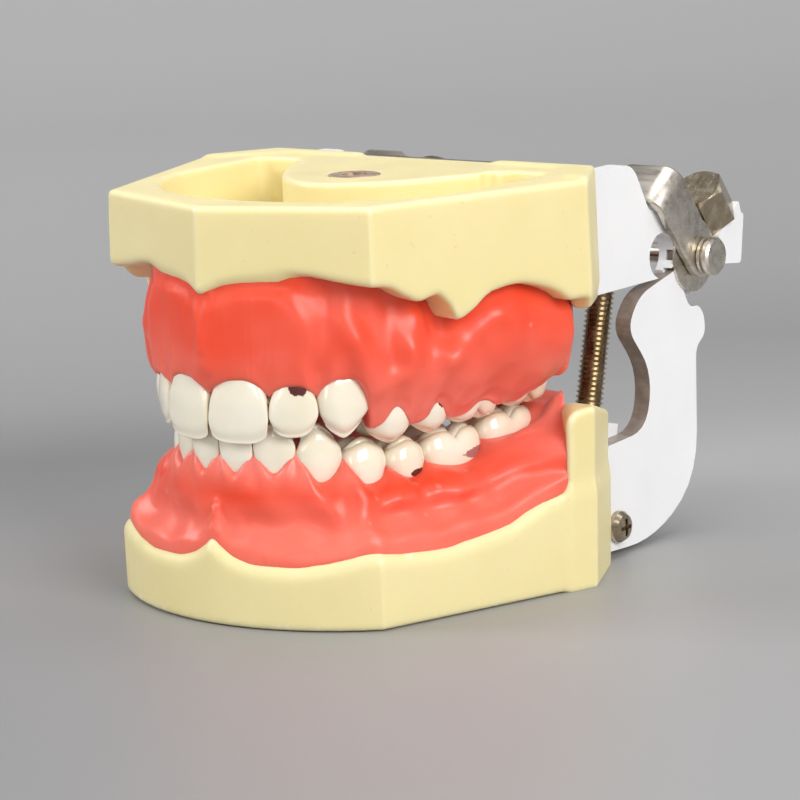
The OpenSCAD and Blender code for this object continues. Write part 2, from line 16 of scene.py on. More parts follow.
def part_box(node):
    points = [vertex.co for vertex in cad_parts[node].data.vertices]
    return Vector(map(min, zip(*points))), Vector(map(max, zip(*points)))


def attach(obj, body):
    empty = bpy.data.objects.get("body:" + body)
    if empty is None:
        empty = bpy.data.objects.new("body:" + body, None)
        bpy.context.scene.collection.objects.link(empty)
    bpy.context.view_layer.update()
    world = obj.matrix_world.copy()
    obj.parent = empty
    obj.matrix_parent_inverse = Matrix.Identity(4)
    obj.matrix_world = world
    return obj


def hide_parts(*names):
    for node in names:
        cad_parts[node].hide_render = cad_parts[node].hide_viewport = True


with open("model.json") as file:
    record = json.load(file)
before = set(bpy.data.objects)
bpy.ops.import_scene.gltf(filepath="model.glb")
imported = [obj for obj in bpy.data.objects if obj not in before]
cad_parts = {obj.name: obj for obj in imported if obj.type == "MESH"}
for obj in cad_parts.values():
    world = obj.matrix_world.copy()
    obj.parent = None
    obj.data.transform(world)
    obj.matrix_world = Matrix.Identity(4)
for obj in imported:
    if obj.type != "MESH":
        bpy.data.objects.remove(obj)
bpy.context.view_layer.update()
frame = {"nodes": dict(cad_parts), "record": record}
record = frame["record"]

MM = 0.001
SIDES = {"left": 1, "right": -1}


def box_mm(node):
    low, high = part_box(node)
    return np.array(low) / MM, np.array(high) / MM


# ---------------------------------------------------------------- driving dimensions

UPPER_BASE_BOX = box_mm("upper_base")
TOP_Z = UPPER_BASE_BOX[1][2]
HALF_W = UPPER_BASE_BOX[1][0]
FRONT_Y = UPPER_BASE_BOX[0][1]
BACK_Y = UPPER_BASE_BOX[1][1]
INSERT_Y = (box_mm("upper_insert")[0][1] + box_mm("upper_insert")[1][1]) / 2
INSERT_R = (box_mm("upper_insert")[1][0] - box_mm("upper_insert")[0][0]) / 2

CANINE_CORNER = (22, -21)
SIDE_CORNER = (HALF_W, 11.8)
HEEL_CORNER = (27, BACK_Y)
LOWER_HEEL = (28.1, BACK_Y)
RECESS_DEPTH = 7.5
RECESS_HALF = (24.5, 21.6)
RECESS_END = 15.3
ISLAND_HALF_W = 17.6
ISLAND_FRONT = -5
WALL_DRAFT = math.tan(math.radians(1.2))

# Each tooth: kind, width along the arch, depth across it, turn of its face, tip level,
# neck level, lean of its root screw
TOOTH_NAMES = ["central_incisor", "lateral_incisor", "canine", "first_premolar",
               "second_premolar", "first_molar", "second_molar"]
KINDS = ["central", "lateral", "canine", "premolar", "premolar", "molar", "molar"]
UPPER_ARCH = {
    "width": [8.7, 6.6, 7.3, 6.8, 6.5, 10.0, 9.3],
    "depth": [7.0, 6.2, 7.6, 8.8, 8.8, 10.8, 10.4],
    "turn": [14, 40, 58, 68, 76, 82, 80],
    "tip": [24.1, 24.9, 24.3, 22.4, 22.8, 23.1, 23.7],
    "neck": [34.0, 33.2, 33.8, 31.0, 31.0, 31.0, 31.0],
    "lean": [20, 18, 14, 8, 6, 4, 4],
    "face_y": -28.4,
}
LOWER_ARCH = {
    "width": [5.1, 5.7, 6.5, 6.9, 6.4, 10.9, 10.6],
    "depth": [6.0, 6.2, 7.4, 7.6, 8.0, 10.2, 9.8],
    "turn": [8, 30, 55, 64, 74, 80, 83],
    "tip": [26.6, 26.4, 26.2, 23.7, 23.0, 23.1, 24.0],
    "neck": [18.6, 18.4, 17.2, 15.6, 15.6, 15.6, 17.0],
    "lean": [14, 12, 10, 8, 6, 4, 4],
    "face_y": -26.4,
}
TEETH = len(TOOTH_NAMES)

VOXEL_BASE = 0.36
VOXEL_GUM = 0.27


# ---------------------------------------------------------------- meshes from formulas

def smooth_max(a, b, r):
    """Larger of two distances, with the edge between them rounded over r."""
    h = np.clip(0.5 + 0.5 * (a - b) / r, 0, 1)
    return b + (a - b) * h + r * h * (1 - h)


def smooth_min(a, b, r):
    return -smooth_max(-a, -b, r)


def smooth_step(low, high, x):
    t = np.clip((x - low) / (high - low), 0, 1)
    return t * t * (3 - 2 * t)


def grid(low, high, step):
    """Axes of a grid that covers the box, as three arrays that broadcast together."""
    axes = [np.arange(a, b + step, step, dtype=np.float32) for a, b in zip(low, high)]
    return axes[0][:, None, None], axes[1][None, :, None], axes[2][None, None, :]


def edge_crossings(field, axis):
    first = [slice(None)] * 3
    second = [slice(None)] * 3
    first[axis] = slice(None, -1)
    second[axis] = slice(1, None)
    a, b = field[tuple(first)], field[tuple(second)]
    crossed = (a < 0) != (b < 0)
    share = np.where(crossed, a / np.where(crossed, a - b, 1), 0).astype(np.float32)
    return crossed, share, a < 0


def surface_net(field, origin, step):
    """Vertices and quads of the zero level: one vertex in each cell that it crosses."""
    cells = tuple(n - 1 for n in field.shape)
    total = np.zeros(cells + (3,), np.float32)
    count = np.zeros(cells, np.float32)
    crossings = [edge_crossings(field, axis) for axis in range(3)]
    for axis, (crossed, share, _) in enumerate(crossings):
        others = [k for k in range(3) if k != axis]
        for p in (0, 1):
            for q in (0, 1):
                cut = [slice(None)] * 3
                cut[others[0]] = slice(p, cells[others[0]] + p)
                cut[others[1]] = slice(q, cells[others[1]] + q)
                hit = crossed[tuple(cut)]
                total[..., axis] += share[tuple(cut)]
                total[..., others[0]] += hit * p
                total[..., others[1]] += hit * q
                count += hit
    active = count > 0
    index = np.full(cells, -1, np.int64)
    index[active] = np.arange(active.sum())
    corner = np.argwhere(active).astype(np.float32)
    vertices = (corner + total[active] / count[active][:, None]) * step + np.array(origin)
    quads = []
    for axis, (crossed, _, inside_first) in enumerate(crossings):
        u, v = [k for k in range(3) if k != axis]
        at = np.argwhere(crossed)
        at = at[(at[:, u] > 0) & (at[:, v] > 0) & (at[:, u] < cells[u]) & (at[:, v] < cells[v])]
        back_u, back_v = np.zeros(3, int), np.zeros(3, int)
        back_u[u], back_v[v] = 1, 1
        ring = [at - back_u - back_v, at - back_v, at, at - back_u]
        quad = np.stack([index[tuple(c.T)] for c in ring], 1)
        flip = inside_first[tuple(at.T)] ^ (axis == 1)
        quad[~flip] = quad[~flip][:, ::-1]
        quads.append(quad)
    return vertices, np.concatenate(quads)


def add_mesh(name, vertices, faces, body, slot, cad_node, material=None):
    """A smooth-shaded piece from vertices in millimetres that stands for a CAD node."""
    mesh = bpy.data.meshes.new(name)
    mesh.from_pydata((np.asarray(vertices, float) * MM).tolist(), [],
                     [tuple(int(i) for i in f) for f in faces])
    mesh.validate()
    mesh.shade_smooth()
    piece = bpy.data.objects.new(name, mesh)
    bpy.context.scene.collection.objects.link(piece)
    mesh.materials.append(material or MATERIALS[slot])
    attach(piece, body)
    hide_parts(cad_node)
    return piece


def loft_faces(rings, around):
    """Side faces between rings of vertices, each ring closed."""
    faces = []
    for r in range(rings - 1):
        for k in range(around):
            n = (k + 1) % around
            faces.append((r * around + k, r * around + n, (r + 1) * around + n,
                          (r + 1) * around + k))
    return faces


# ---------------------------------------------------------------- the dental arch

def corner_points(arch):
    """Points where neighbouring teeth meet on the left side, from the middle backwards."""
    points = [np.array([0.0, arch["face_y"]])]
    for width, turn in zip(arch["width"], np.radians(arch["turn"])):
        points.append(points[-1] + width * np.array([math.cos(turn), math.sin(turn)]))
    return np.array(points)


def arch_curve(arch, per_tooth=40, tail=1.2):
    """Smooth curve through those points: place, outward normal and tooth count t."""
    half = corner_points(arch)
    last = np.radians(arch["turn"][-1])
    beyond = half[-1] + 10.0 * np.array([math.cos(last), math.sin(last)])
    half = np.vstack([half, beyond, 2 * beyond - half[-1]])
    mirrored = half[:0:-1] * [-1, 1]
    points = np.vstack([mirrored, half])
    reach = TEETH + tail
    t = np.linspace(-reach, reach, int(2 * reach * per_tooth) + 1)
    k = np.clip(np.floor(t).astype(int), -TEETH - 1, TEETH)
    f = (t - k)[:, None]
    at = k + len(half) - 1
    p0, p1, p2, p3 = (points[np.clip(at + j, 0, len(points) - 1)] for j in (-1, 0, 1, 2))
    place = 0.5 * (2 * p1 + (p2 - p0) * f + (2 * p0 - 5 * p1 + 4 * p2 - p3) * f ** 2
                   + (3 * p1 - p0 - 3 * p2 + p3) * f ** 3)
    along = np.gradient(place, axis=0)
    along /= np.linalg.norm(along, axis=1)[:, None]
    return t, place, np.stack([along[:, 1], -along[:, 0]], 1)


class ArchMap:
    """Turns (x, y) into the tooth count along the arch and the distance out from it."""

    BATCH = 8000

    def __init__(self, arch):
        self.t, self.place, self.normal = arch_curve(arch)

    def __call__(self, x, y):
        shape = np.broadcast(x, y).shape
        spots = np.stack([np.broadcast_to(x, shape).ravel(), np.broadcast_to(y, shape).ravel()], 1)
        count = np.empty(len(spots), np.float32)
        out = np.empty(len(spots), np.float32)
        for start in range(0, len(spots), self.BATCH):
            batch = slice(start, start + self.BATCH)
            part = spots[batch]
            gap = part[:, None, :] - self.place[None, :, :]
            square = (gap ** 2).sum(2)
            near = square.argmin(1)
            rows = np.arange(len(part))
            offset = gap[rows, near]
            side = np.sign((offset * self.normal[near]).sum(1))
            out[batch] = side * np.sqrt(square[rows, near])
            count[batch] = self.refine(near, offset)
        return np.abs(count).reshape(shape), out.reshape(shape)

    def refine(self, near, offset):
        """Tooth count with the part of a step that the nearest sample leaves over."""
        last = len(self.t) - 1
        ahead = np.clip(near + 1, 0, last)
        behind = np.clip(near - 1, 0, last)
        chord = self.place[ahead] - self.place[behind]
        share = (offset * chord).sum(1) / np.maximum((chord ** 2).sum(1), 1e-9)
        return self.t[near] + np.clip(share, -0.5, 0.5) * (self.t[ahead] - self.t[behind])


def curve(knots, x):
    """Smooth curve through [place, value] knots, flat at each local peak."""
    knots = np.array(sorted(knots), float)
    k = np.clip(np.searchsorted(knots[:, 0], x) - 1, 0, len(knots) - 2)
    f = np.clip((x - knots[k, 0]) / (knots[k + 1, 0] - knots[k, 0]), 0, 1)
    slope = np.zeros(len(knots))
    step = np.diff(knots[:, 1]) / np.diff(knots[:, 0])
    same = step[:-1] * step[1:] > 0
    slope[1:-1][same] = 2 * step[:-1][same] * step[1:][same] / (step[:-1] + step[1:])[same]
    width = knots[k + 1, 0] - knots[k, 0]
    return (knots[k, 1] * (1 + 2 * f) * (1 - f) ** 2 + slope[k] * width * f * (1 - f) ** 2
            + knots[k + 1, 1] * f ** 2 * (3 - 2 * f) + slope[k + 1] * width * f ** 2 * (f - 1))


def scallop(papillae, middles, t, shape):
    """Gum margin: peaks between the teeth and a round bay round each crown."""
    t = np.clip(t, 0, TEETH - 1e-4)
    i = np.floor(t).astype(int)
    f = 2 * (t - i) - 1
    papillae = np.array(papillae)
    middle = np.array(middles)[i]
    peak = np.where(f < 0, papillae[i], papillae[i + 1])
    return middle + (peak - middle) * shape(t, np.abs(f))


# ---------------------------------------------------------------- outlines

def both_sides(half):
    return half + [(-x, y) for x, y in reversed(half) if x > 0]


def lower_front():
    """Rounded front of the lower base: an arc through both canine corners."""
    x, y = CANINE_CORNER
    rise = y - FRONT_Y
    r = (x * x + rise * rise) / (2 * rise)
    sweep = math.asin(x / r)
    return [(r * math.sin(a), FRONT_Y + r - r * math.cos(a)) for a in np.linspace(0, sweep, 9)]


UPPER_OUTLINE = both_sides([(0, FRONT_Y), CANINE_CORNER, SIDE_CORNER, HEEL_CORNER])
LOWER_OUTLINE = both_sides(lower_front() + [SIDE_CORNER, LOWER_HEEL])


def outline_distance(points, x, y):
    """Signed distance to a closed outline, negative inside."""
    points = np.array(points, float)
    best = np.full(np.broadcast(x, y).shape, 1e9)
    inside = np.zeros(best.shape, bool)
    for a, b in zip(points, np.roll(points, -1, 0)):
        edge = b - a
        s = np.clip(((x - a[0]) * edge[0] + (y - a[1]) * edge[1]) / (edge @ edge), 0, 1)
        best = np.minimum(best, (x - a[0] - s * edge[0]) ** 2 + (y - a[1] - s * edge[1]) ** 2)
        if a[1] != b[1]:
            spans = (a[1] > y) != (b[1] > y)
            inside ^= spans & (x < (b[0] - a[0]) * (y - a[1]) / (b[1] - a[1]) + a[0])
    return np.where(inside, -1, 1) * np.sqrt(best)


def wall_reach(points, arch_map):
    """Distance from the arch out to the wall, as knots over the tooth count."""
    knots = []
    for t, place, normal in zip(arch_map.t, arch_map.place, arch_map.normal):
        if t < 0 or round(t * 40) % 8:
            continue
        steps = np.arange(-3, 14, 0.05)
        ray = place + steps[:, None] * normal
        beyond = outline_distance(points, ray[:, 0], ray[:, 1]) > 0
        knots.append((t, steps[beyond.argmax()]))
    return knots


# ---------------------------------------------------------------- node materials

# Range in which most of a noise's values lie
NOISE_SPAN = (0.3, 0.7)


def new_material(name, roughness, **inputs):
    """A material with a Principled shader, and the shader with the named inputs set."""
    material = bpy.data.materials.new(name)
    material.use_nodes = True
    shader = material.node_tree.nodes["Principled BSDF"]
    shader.inputs["Roughness"].default_value = roughness
    for key, value in inputs.items():
        shader.inputs[key.replace("_", " ")].default_value = value
    return material, shader


def node(material, kind, **settings):
    """A new node, with each setting given to the input or the property of that name."""
    made = material.node_tree.nodes.new(kind)
    for key, value in settings.items():
        if key in made.inputs:
            made.inputs[key].default_value = value
        else:
            setattr(made, key, value)
    return made


def link(material, source, target):
    material.node_tree.links.new(source, target)


def place_of(material):
    """Place in the frame at rest, in metres."""
    return node(material, "ShaderNodeTexCoord").outputs["Object"]


def part_of(material, vector, axis):
    split = node(material, "ShaderNodeSeparateXYZ")
    link(material, vector, split.inputs["Vector"])
    return split.outputs[axis]


def calculate(material, operation, a, b=None):
    """One step of arithmetic. b is another socket, or is left out."""
    made = node(material, "ShaderNodeMath", operation=operation)
    link(material, a, made.inputs[0])
    if b is not None:
        link(material, b, made.inputs[1])
    return made.outputs[0]


def noise(material, scale, detail=4.0, roughness=0.55, stretch=(1, 1, 1)):
    mapping = node(material, "ShaderNodeMapping")
    mapping.inputs["Scale"].default_value = stretch
    link(material, place_of(material), mapping.inputs["Vector"])
    made = node(material, "ShaderNodeTexNoise", Scale=scale, Detail=detail, Roughness=roughness)
    link(material, mapping.outputs["Vector"], made.inputs["Vector"])
    return made.outputs["Fac"]


def ramp(material, value, stops):
    """Colours over a value, as [place, (r, g, b)] stops."""
    made = node(material, "ShaderNodeValToRGB")
    elements = made.color_ramp.elements
    while len(elements) < len(stops):
        elements.new(0.5)
    for element, (place, colour) in zip(elements, stops):
        element.position = place
        element.color = (*colour, 1)
    link(material, value, made.inputs["Fac"])
    return made.outputs["Color"]


def mix(material, factor, a, b):
    made = node(material, "ShaderNodeMix", data_type="RGBA")
    slots = {"Factor": made.inputs[0], "A": made.inputs[6], "B": made.inputs[7]}
    for key, value in (("Factor", factor), ("A", a), ("B", b)):
        if isinstance(value, bpy.types.NodeSocket):
            link(material, value, slots[key])
        else:
            slots[key].default_value = value if key == "Factor" else (*value, 1)
    return made.outputs[2]


def map_range(material, value, low, high, to_low, to_high):
    made = node(material, "ShaderNodeMapRange")
    made.interpolation_type = "SMOOTHSTEP"
    for key, number in (("From Min", low), ("From Max", high), ("To Min", to_low),
                        ("To Max", to_high)):
        made.inputs[key].default_value = number
    link(material, value, made.inputs["Value"])
    return made.outputs["Result"]


def tint(material, colour, value, span, shares, new):
    """Colour with a new one mixed in: its share goes from one to the other over the span."""
    return mix(material, map_range(material, value, *span, *shares), colour, new)


def two_tone(material, value, dark, light):
    """Colour that follows a noise from dark to light over its middle range."""
    return ramp(material, value, [[NOISE_SPAN[0], dark], [NOISE_SPAN[1], light]])


def add_bump(material, shader, height, strength, distance):
    made = node(material, "ShaderNodeBump", Strength=strength, Distance=distance)
    link(material, height, made.inputs["Height"])
    link(material, made.outputs["Normal"], shader.inputs["Normal"])


def finish_surface(material, shader, colour, rough, rough_shares, height, bump):
    """Links colour, uneven roughness and a fine bump (strength, distance) to the shader."""
    link(material, colour, shader.inputs["Base Color"])
    if rough is not None:
        link(material, map_range(material, rough, *NOISE_SPAN, *rough_shares),
             shader.inputs["Roughness"])
    add_bump(material, shader, height, *bump)


def pointed(material):
    """Convexity of the surface: low in hollows, high on ridges. The materials use it to paint shade
    into hollows and highlights onto ridges.
    """
    return node(material, "ShaderNodeNewGeometry").outputs["Pointiness"]


def base_plastic():
    """Cream casting with faint clouds, dust specks and a painted highlight along its edges."""
    material, shader = new_material(
        "base_plastic", 0.42, Subsurface_Weight=0.25, Subsurface_Scale=0.003,
        Coat_Weight=0.12, Coat_Roughness=0.35)
    shader.inputs["Subsurface Radius"].default_value = (1.0, 0.75, 0.3)
    colour = two_tone(material, noise(material, 38, 3), (0.79, 0.68, 0.33), (0.84, 0.74, 0.40))
    colour = tint(material, colour, noise(material, 900, 2), (0.70, 0.78), (0, 0.35),
                  (0.62, 0.50, 0.25))
    # painted highlight: paler cream on convex edges, where light catches the rounded rims
    colour = tint(material, colour, pointed(material), (0.50, 0.56), (0, 0.5), (0.92, 0.87, 0.62))
    finish_surface(material, shader, colour, noise(material, 160, 4), (0.34, 0.5),
                   noise(material, 520, 4), (0.12, 0.0002))
    return material


# Levels of the gum's colours, as shares of GUM_HEIGHT in metres: deep red painted shade at
# the borders with the bases, and paler next to the teeth
GUM_HEIGHT = 0.05
GUM_BORDER_SHADE = [(0.16, 0), (0.27, 1), (0.36, 0), (0.66, 0), (0.84, 1)]
GUM_PALE = [(0.30, 0), (0.40, 1), (0.58, 1), (0.70, 0)]


def gum_silicone():
    """Coral silicone: painted shade, deep red, in folds and at the borders, a painted highlight on
    ridges, and paler near the teeth.
    """
    material, shader = new_material(
        "gum_silicone", 0.38, Subsurface_Weight=0.3, Subsurface_Scale=0.003,
        Coat_Weight=0.25, Coat_Roughness=0.34, IOR=1.42)
    shader.inputs["Subsurface Radius"].default_value = (1.0, 0.28, 0.16)
    level = map_range(material, part_of(material, place_of(material), "Z"), 0, GUM_HEIGHT, 0, 1)

    def band(stops, scale, detail, low, high):
        """Share that follows the level, broken up by noise."""
        share = ramp(material, level, [[at, (value,) * 3] for at, value in stops])
        uneven = map_range(material, noise(material, scale, detail), *NOISE_SPAN, low, high)
        return calculate(material, "MULTIPLY", share, uneven)

    colour = two_tone(material, noise(material, 55, 4), (0.88, 0.135, 0.085), (0.93, 0.175, 0.12))
    # painted shade: deep red in the recesses along the borders with the bases
    colour = mix(material, band(GUM_BORDER_SHADE, 90, 2, 0.5, 0.95), colour, (0.84, 0.055, 0.012))
    # painted shade: deeper red in hollows and folds
    colour = tint(material, colour, pointed(material), (0.44, 0.50), (0.75, 0), (0.82, 0.07, 0.018))
    # painted highlight: paler coral on ridges
    colour = tint(material, colour, pointed(material), (0.51, 0.58), (0, 0.5), (0.94, 0.25, 0.19))
    colour = mix(material, band(GUM_PALE, 140, 3, 0.3, 0.8), colour, (0.90, 0.21, 0.165))
    colour = tint(material, colour, noise(material, 420, 6, 0.7, (1, 1, 0.35)), (0.60, 0.72),
                  (0, 0.18), (0.62, 0.05, 0.03))
    finish_surface(material, shader, colour, noise(material, 120, 4), (0.34, 0.5),
                   noise(material, 650, 5), (0.10, 0.0002))
    return material


STAIN_KINDS = {
    "caries": [[0.0, (0.035, 0.006, 0.006)], [1.0, (0.16, 0.025, 0.02)]],
    "calculus": [[0.0, (0.30, 0.13, 0.12)], [1.0, (0.45, 0.22, 0.20)]],
}
# A stain's edge in its own sizes from the centre, with the ragged noise added, and its strength
STAIN_EDGE = (1.30, 1.42)
STAIN_RAGGED = 0.8


def stain_mask(material, centre, size):
    """1 inside an ellipsoid with a ragged edge, given in millimetres, and 0 outside."""
    mapping = node(material, "ShaderNodeMapping", vector_type="POINT")
    mapping.inputs["Location"].default_value = [-c / s for c, s in zip(centre, size)]
    mapping.inputs["Scale"].default_value = [1 / (s * MM) for s in size]
    link(material, place_of(material), mapping.inputs["Vector"])
    length = node(material, "ShaderNodeVectorMath", operation="LENGTH")
    link(material, mapping.outputs["Vector"], length.inputs[0])
    ragged = node(material, "ShaderNodeMath", operation="MULTIPLY_ADD")
    link(material, noise(material, 1500, 3), ragged.inputs[0])
    ragged.inputs[1].default_value = STAIN_RAGGED
    link(material, length.outputs["Value"], ragged.inputs[2])
    return map_range(material, ragged.outputs[0], *STAIN_EDGE, 1, 0)


def tooth_resin(name="tooth_resin", spots=()):
    """Ivory resin, with painted shade, darker and warmer, in hollows and a painted highlight on
    ridges. Each spot is (centre mm, size mm, kind).
    """
    material, shader = new_material(
        name, 0.13, Subsurface_Weight=0.22, Subsurface_Scale=0.0015,
        Coat_Weight=0.55, Coat_Roughness=0.06, IOR=1.52)
    shader.inputs["Subsurface Radius"].default_value = (1.0, 0.8, 0.55)
    colour = two_tone(material, noise(material, 120, 4), (0.83, 0.76, 0.59), (0.90, 0.85, 0.72))
    # painted shade: darker, warmer ivory in hollows
    colour = tint(material, colour, pointed(material), (0.42, 0.49), (0.6, 0), (0.60, 0.40, 0.17))
    # painted highlight: paler ivory on ridges
    colour = tint(material, colour, pointed(material), (0.51, 0.58), (0, 0.5), (0.93, 0.90, 0.81))
    for centre, size, kind in spots:
        stain = ramp(material, noise(material, 2200, 4), STAIN_KINDS[kind])
        colour = mix(material, stain_mask(material, centre, size), colour, stain)
    finish_surface(material, shader, colour, None, None, noise(material, 700, 4), (0.06, 0.0002))
    return material


def painted_metal(name, painted_edge_shade):
    """White paint over sheet metal. Its sawn edges, square to the sheet, can get a dark taupe of
    painted shade and a painted reflection of the gum.
    """
    material, shader = new_material(name, 0.36, Coat_Weight=0.25, Coat_Roughness=0.2)
    colour = two_tone(material, noise(material, 60, 4), (0.83, 0.83, 0.85), (0.89, 0.89, 0.90))
    colour = tint(material, colour, noise(material, 240, 5, 0.7), (0.66, 0.78), (0, 0.3),
                  (0.45, 0.45, 0.47))
    if painted_edge_shade:
        # painted shade and painted reflection of the gum: dark taupe on edges square to the sheet
        normal = node(material, "ShaderNodeNewGeometry").outputs["Normal"]
        across = calculate(material, "ABSOLUTE", part_of(material, normal, "X"))
        edge_shade_share = map_range(material, across, 0.25, 0.6, 1, 0)
        edge_shade_colour = two_tone(material, noise(material, 500, 3), (0.22, 0.17, 0.14), (0.34, 0.28, 0.24))
        colour = mix(material, edge_shade_share, colour, edge_shade_colour)
    finish_surface(material, shader, colour, noise(material, 300, 3), (0.28, 0.45),
                   noise(material, 1400, 3), (0.16, 0.0001))
    return material


def steel(name, dark, light, roughness, stretch):
    """Metal with fine grain drawn along one axis, and duller blotches of tarnish."""
    material, shader = new_material(name, roughness, Metallic=1.0)
    grain = noise(material, 900, 5, 0.6, stretch)
    colour = two_tone(material, grain, dark, light)
    colour = tint(material, colour, noise(material, 130, 5, 0.65), (0.54, 0.74), (0, 0.3),
                  tuple(0.6 * c for c in dark))
    finish_surface(material, shader, colour, grain, (roughness * 0.75, roughness * 1.3),
                   grain, (0.12, 0.0001))
    return material


MATERIALS = {
    "base_plastic": base_plastic(),
    "gum_silicone": gum_silicone(),
    "tooth_resin": tooth_resin(),
    "bracket_paint": painted_metal("bracket_paint", False),
    # arms: white paint, with painted shade and a painted gum reflection on their edges
    "arm_paint_shaded_edges": painted_metal("arm_paint_shaded_edges", True),
    "hinge_steel": steel("hinge_steel", (0.54, 0.49, 0.42), (0.74, 0.69, 0.61), 0.30, (0.1, 1, 1)),
    "screw_steel": steel("screw_steel", (0.34, 0.27, 0.18), (0.56, 0.48, 0.36), 0.24, (1, 1, 0.3)),
    "insert_brass": steel("insert_brass", (0.58, 0.42, 0.32), (0.80, 0.64, 0.50), 0.45, (1, 1, 3)),
}


# ---------------------------------------------------------------- bases

UPPER_MAP = ArchMap(UPPER_ARCH)
LOWER_MAP = ArchMap(LOWER_ARCH)

# Border between base and gum, as points on the left wall in millimetres: x, y, level
UPPER_BORDER = [(0, -29.3, 43.5), (1.4, -28.8, 44.1), (3.1, -28.1, 45.1), (6, -27, 46.0),
                (9.8, -25.6, 46.3), (14.3, -23.9, 46.0), (17.9, -22.5, 45.3), (21.7, -21.1, 44.7),
                (22.9, -18.5, 44.3), (23.8, -15.8, 42.8), (24.4, -13.8, 42.0), (25.2, -11.3, 42.5),
                (25.8, -9.6, 41.1), (26.3, -8.1, 38.9), (27, -6.2, 39.7), (28.1, -2.7, 41.9),
                (29.4, 1.0, 42.4), (30.6, 4.7, 41.6), (31.5, 7.4, 40.4), (32.2, 9.3, 39.2)]
LOWER_BORDER = [(0, -29.3, 11.8), (1.5, -29.3, 10.8), (3.4, -29.1, 9.7), (7, -28.6, 8.9),
                (11.9, -27.1, 8.8), (15.7, -25.4, 9.3), (18.8, -23.5, 10.0), (21.1, -21.8, 10.6),
                (23.1, -17.7, 10.0), (25.3, -11.2, 9.6), (26.4, -7.9, 10.0), (28.6, -1.3, 11.0),
                (29.7, 2.0, 12.4), (30.8, 5.2, 13.6), (31.9, 8.5, 14.4)]


def border_knots(border, arch_map):
    rows = np.array(border)
    t, _ = arch_map(rows[:, 0], rows[:, 1])
    return list(zip(t.tolist(), rows[:, 2].tolist()))


UPPER_BORDER_KNOTS = border_knots(UPPER_BORDER, UPPER_MAP)
LOWER_BORDER_KNOTS = border_knots(LOWER_BORDER, LOWER_MAP)
# Underside of the upper base within the arch
UPPER_FLOOR = TOP_Z - 11.5


def border_level(upper, t, out):
    """Level where base meets gum. Inside the upper arch it turns to the base's flat floor."""
    if not upper:
        return curve(LOWER_BORDER_KNOTS, t)
    border = curve(UPPER_BORDER_KNOTS, t)
    return border + (UPPER_FLOOR - border) * smooth_step(-0.6, 2.4, -out)


def recess_distance(x, y):
    """Horseshoe recess in plan: inside an ellipse that runs on back, round the island."""
    front = (np.hypot(x / RECESS_HALF[0], np.minimum(y, 0) / RECESS_HALF[1]) - 1) * RECESS_HALF[1]
    outer = smooth_max(front, y - RECESS_END, 2.0)
    slope = (RECESS_END - ISLAND_FRONT) / ISLAND_HALF_W ** 2
    island = (ISLAND_FRONT + slope * x * x - y) / np.sqrt(1 + (2 * slope * x) ** 2)
    return smooth_max(outer, -island, 1.5)


def tooth_places(arch):
    """Centre of each left crown at its neck, its turn and its lean."""
    points = corner_points(arch)
    for i in range(TEETH):
        turn = math.radians(arch["turn"][i])
        middle = (points[i] + points[i + 1]) / 2
        yield middle + arch["depth"][i] / 2 * np.array([-math.sin(turn), math.cos(turn)]), i


POCKET_R = 1.75
POCKET_DEPTH = 0.7


def screw_pockets(arch, x, y, z, upper):
    """Distance to the round pockets over the tooth screws, on both sides."""
    best = np.full(np.broadcast(x, y, z).shape, 9.0, np.float32)
    level = TOP_Z - RECESS_DEPTH if upper else RECESS_DEPTH
    neck = 31.0 if upper else 17.0
    up = 1 if upper else -1
    for (cx, cy), i in tooth_places(arch):
        turn = math.radians(arch["turn"][i])
        shift = abs(level - neck) * math.tan(math.radians(arch["lean"][i]))
        px = cx - shift * math.sin(turn)
        py = cy + shift * math.cos(turn)
        round_hole = np.hypot(np.abs(x) - px, y - py) - POCKET_R
        best = np.minimum(best, np.maximum(round_hole, (level - POCKET_DEPTH * up - z) * up))
    return best


# Depth below the flat face at which a wall stands on its outline
DRAFT_DEPTH = 10.0


def base_field(outline, x, y, z, upper, border):
    """Signed distances of a base's slab under its wavy border, of its walls and its flat face."""
    depth = TOP_Z - z if upper else z
    wall = outline_distance(outline, x, y) + (DRAFT_DEPTH - depth) * WALL_DRAFT
    slab = smooth_max(wall, -depth, 0.8)
    edge = border - z if upper else z - border
    return smooth_max(slab, edge, 1.2 if upper else 2.6), wall, -depth


# Blocks that close the rear of each base, behind the gum: left half in plan
UPPER_BLOCK = [(12, 20.6), (22.8, 20.4), (29.4, 12.7), (36, 12.3), (36, 26), (12, 26)]
LOWER_BLOCK = [(12, 21), (22, 19.4), (26, 14.5), (31.3, 7.9), (36, 7.4), (36, 26), (12, 26)]
INSERT_DEPTH = 8.1


def block_field(upper, x, y, z):
    """Distance to the rear blocks, down to the upper one's end or up to the lower one's top."""
    plan = outline_distance(UPPER_BLOCK if upper else LOWER_BLOCK, np.abs(x), y)
    if upper:
        return smooth_max(plan, 36.6 + 0.12 * np.maximum(0, np.abs(x) - 24) - z, 1.4)
    heel_top = 24.6 - 0.28 * np.maximum(0, y - 13.0) - 0.05 * np.maximum(0, 12 - y) ** 1.5
    return smooth_max(plan, z - heel_top, 2.0)


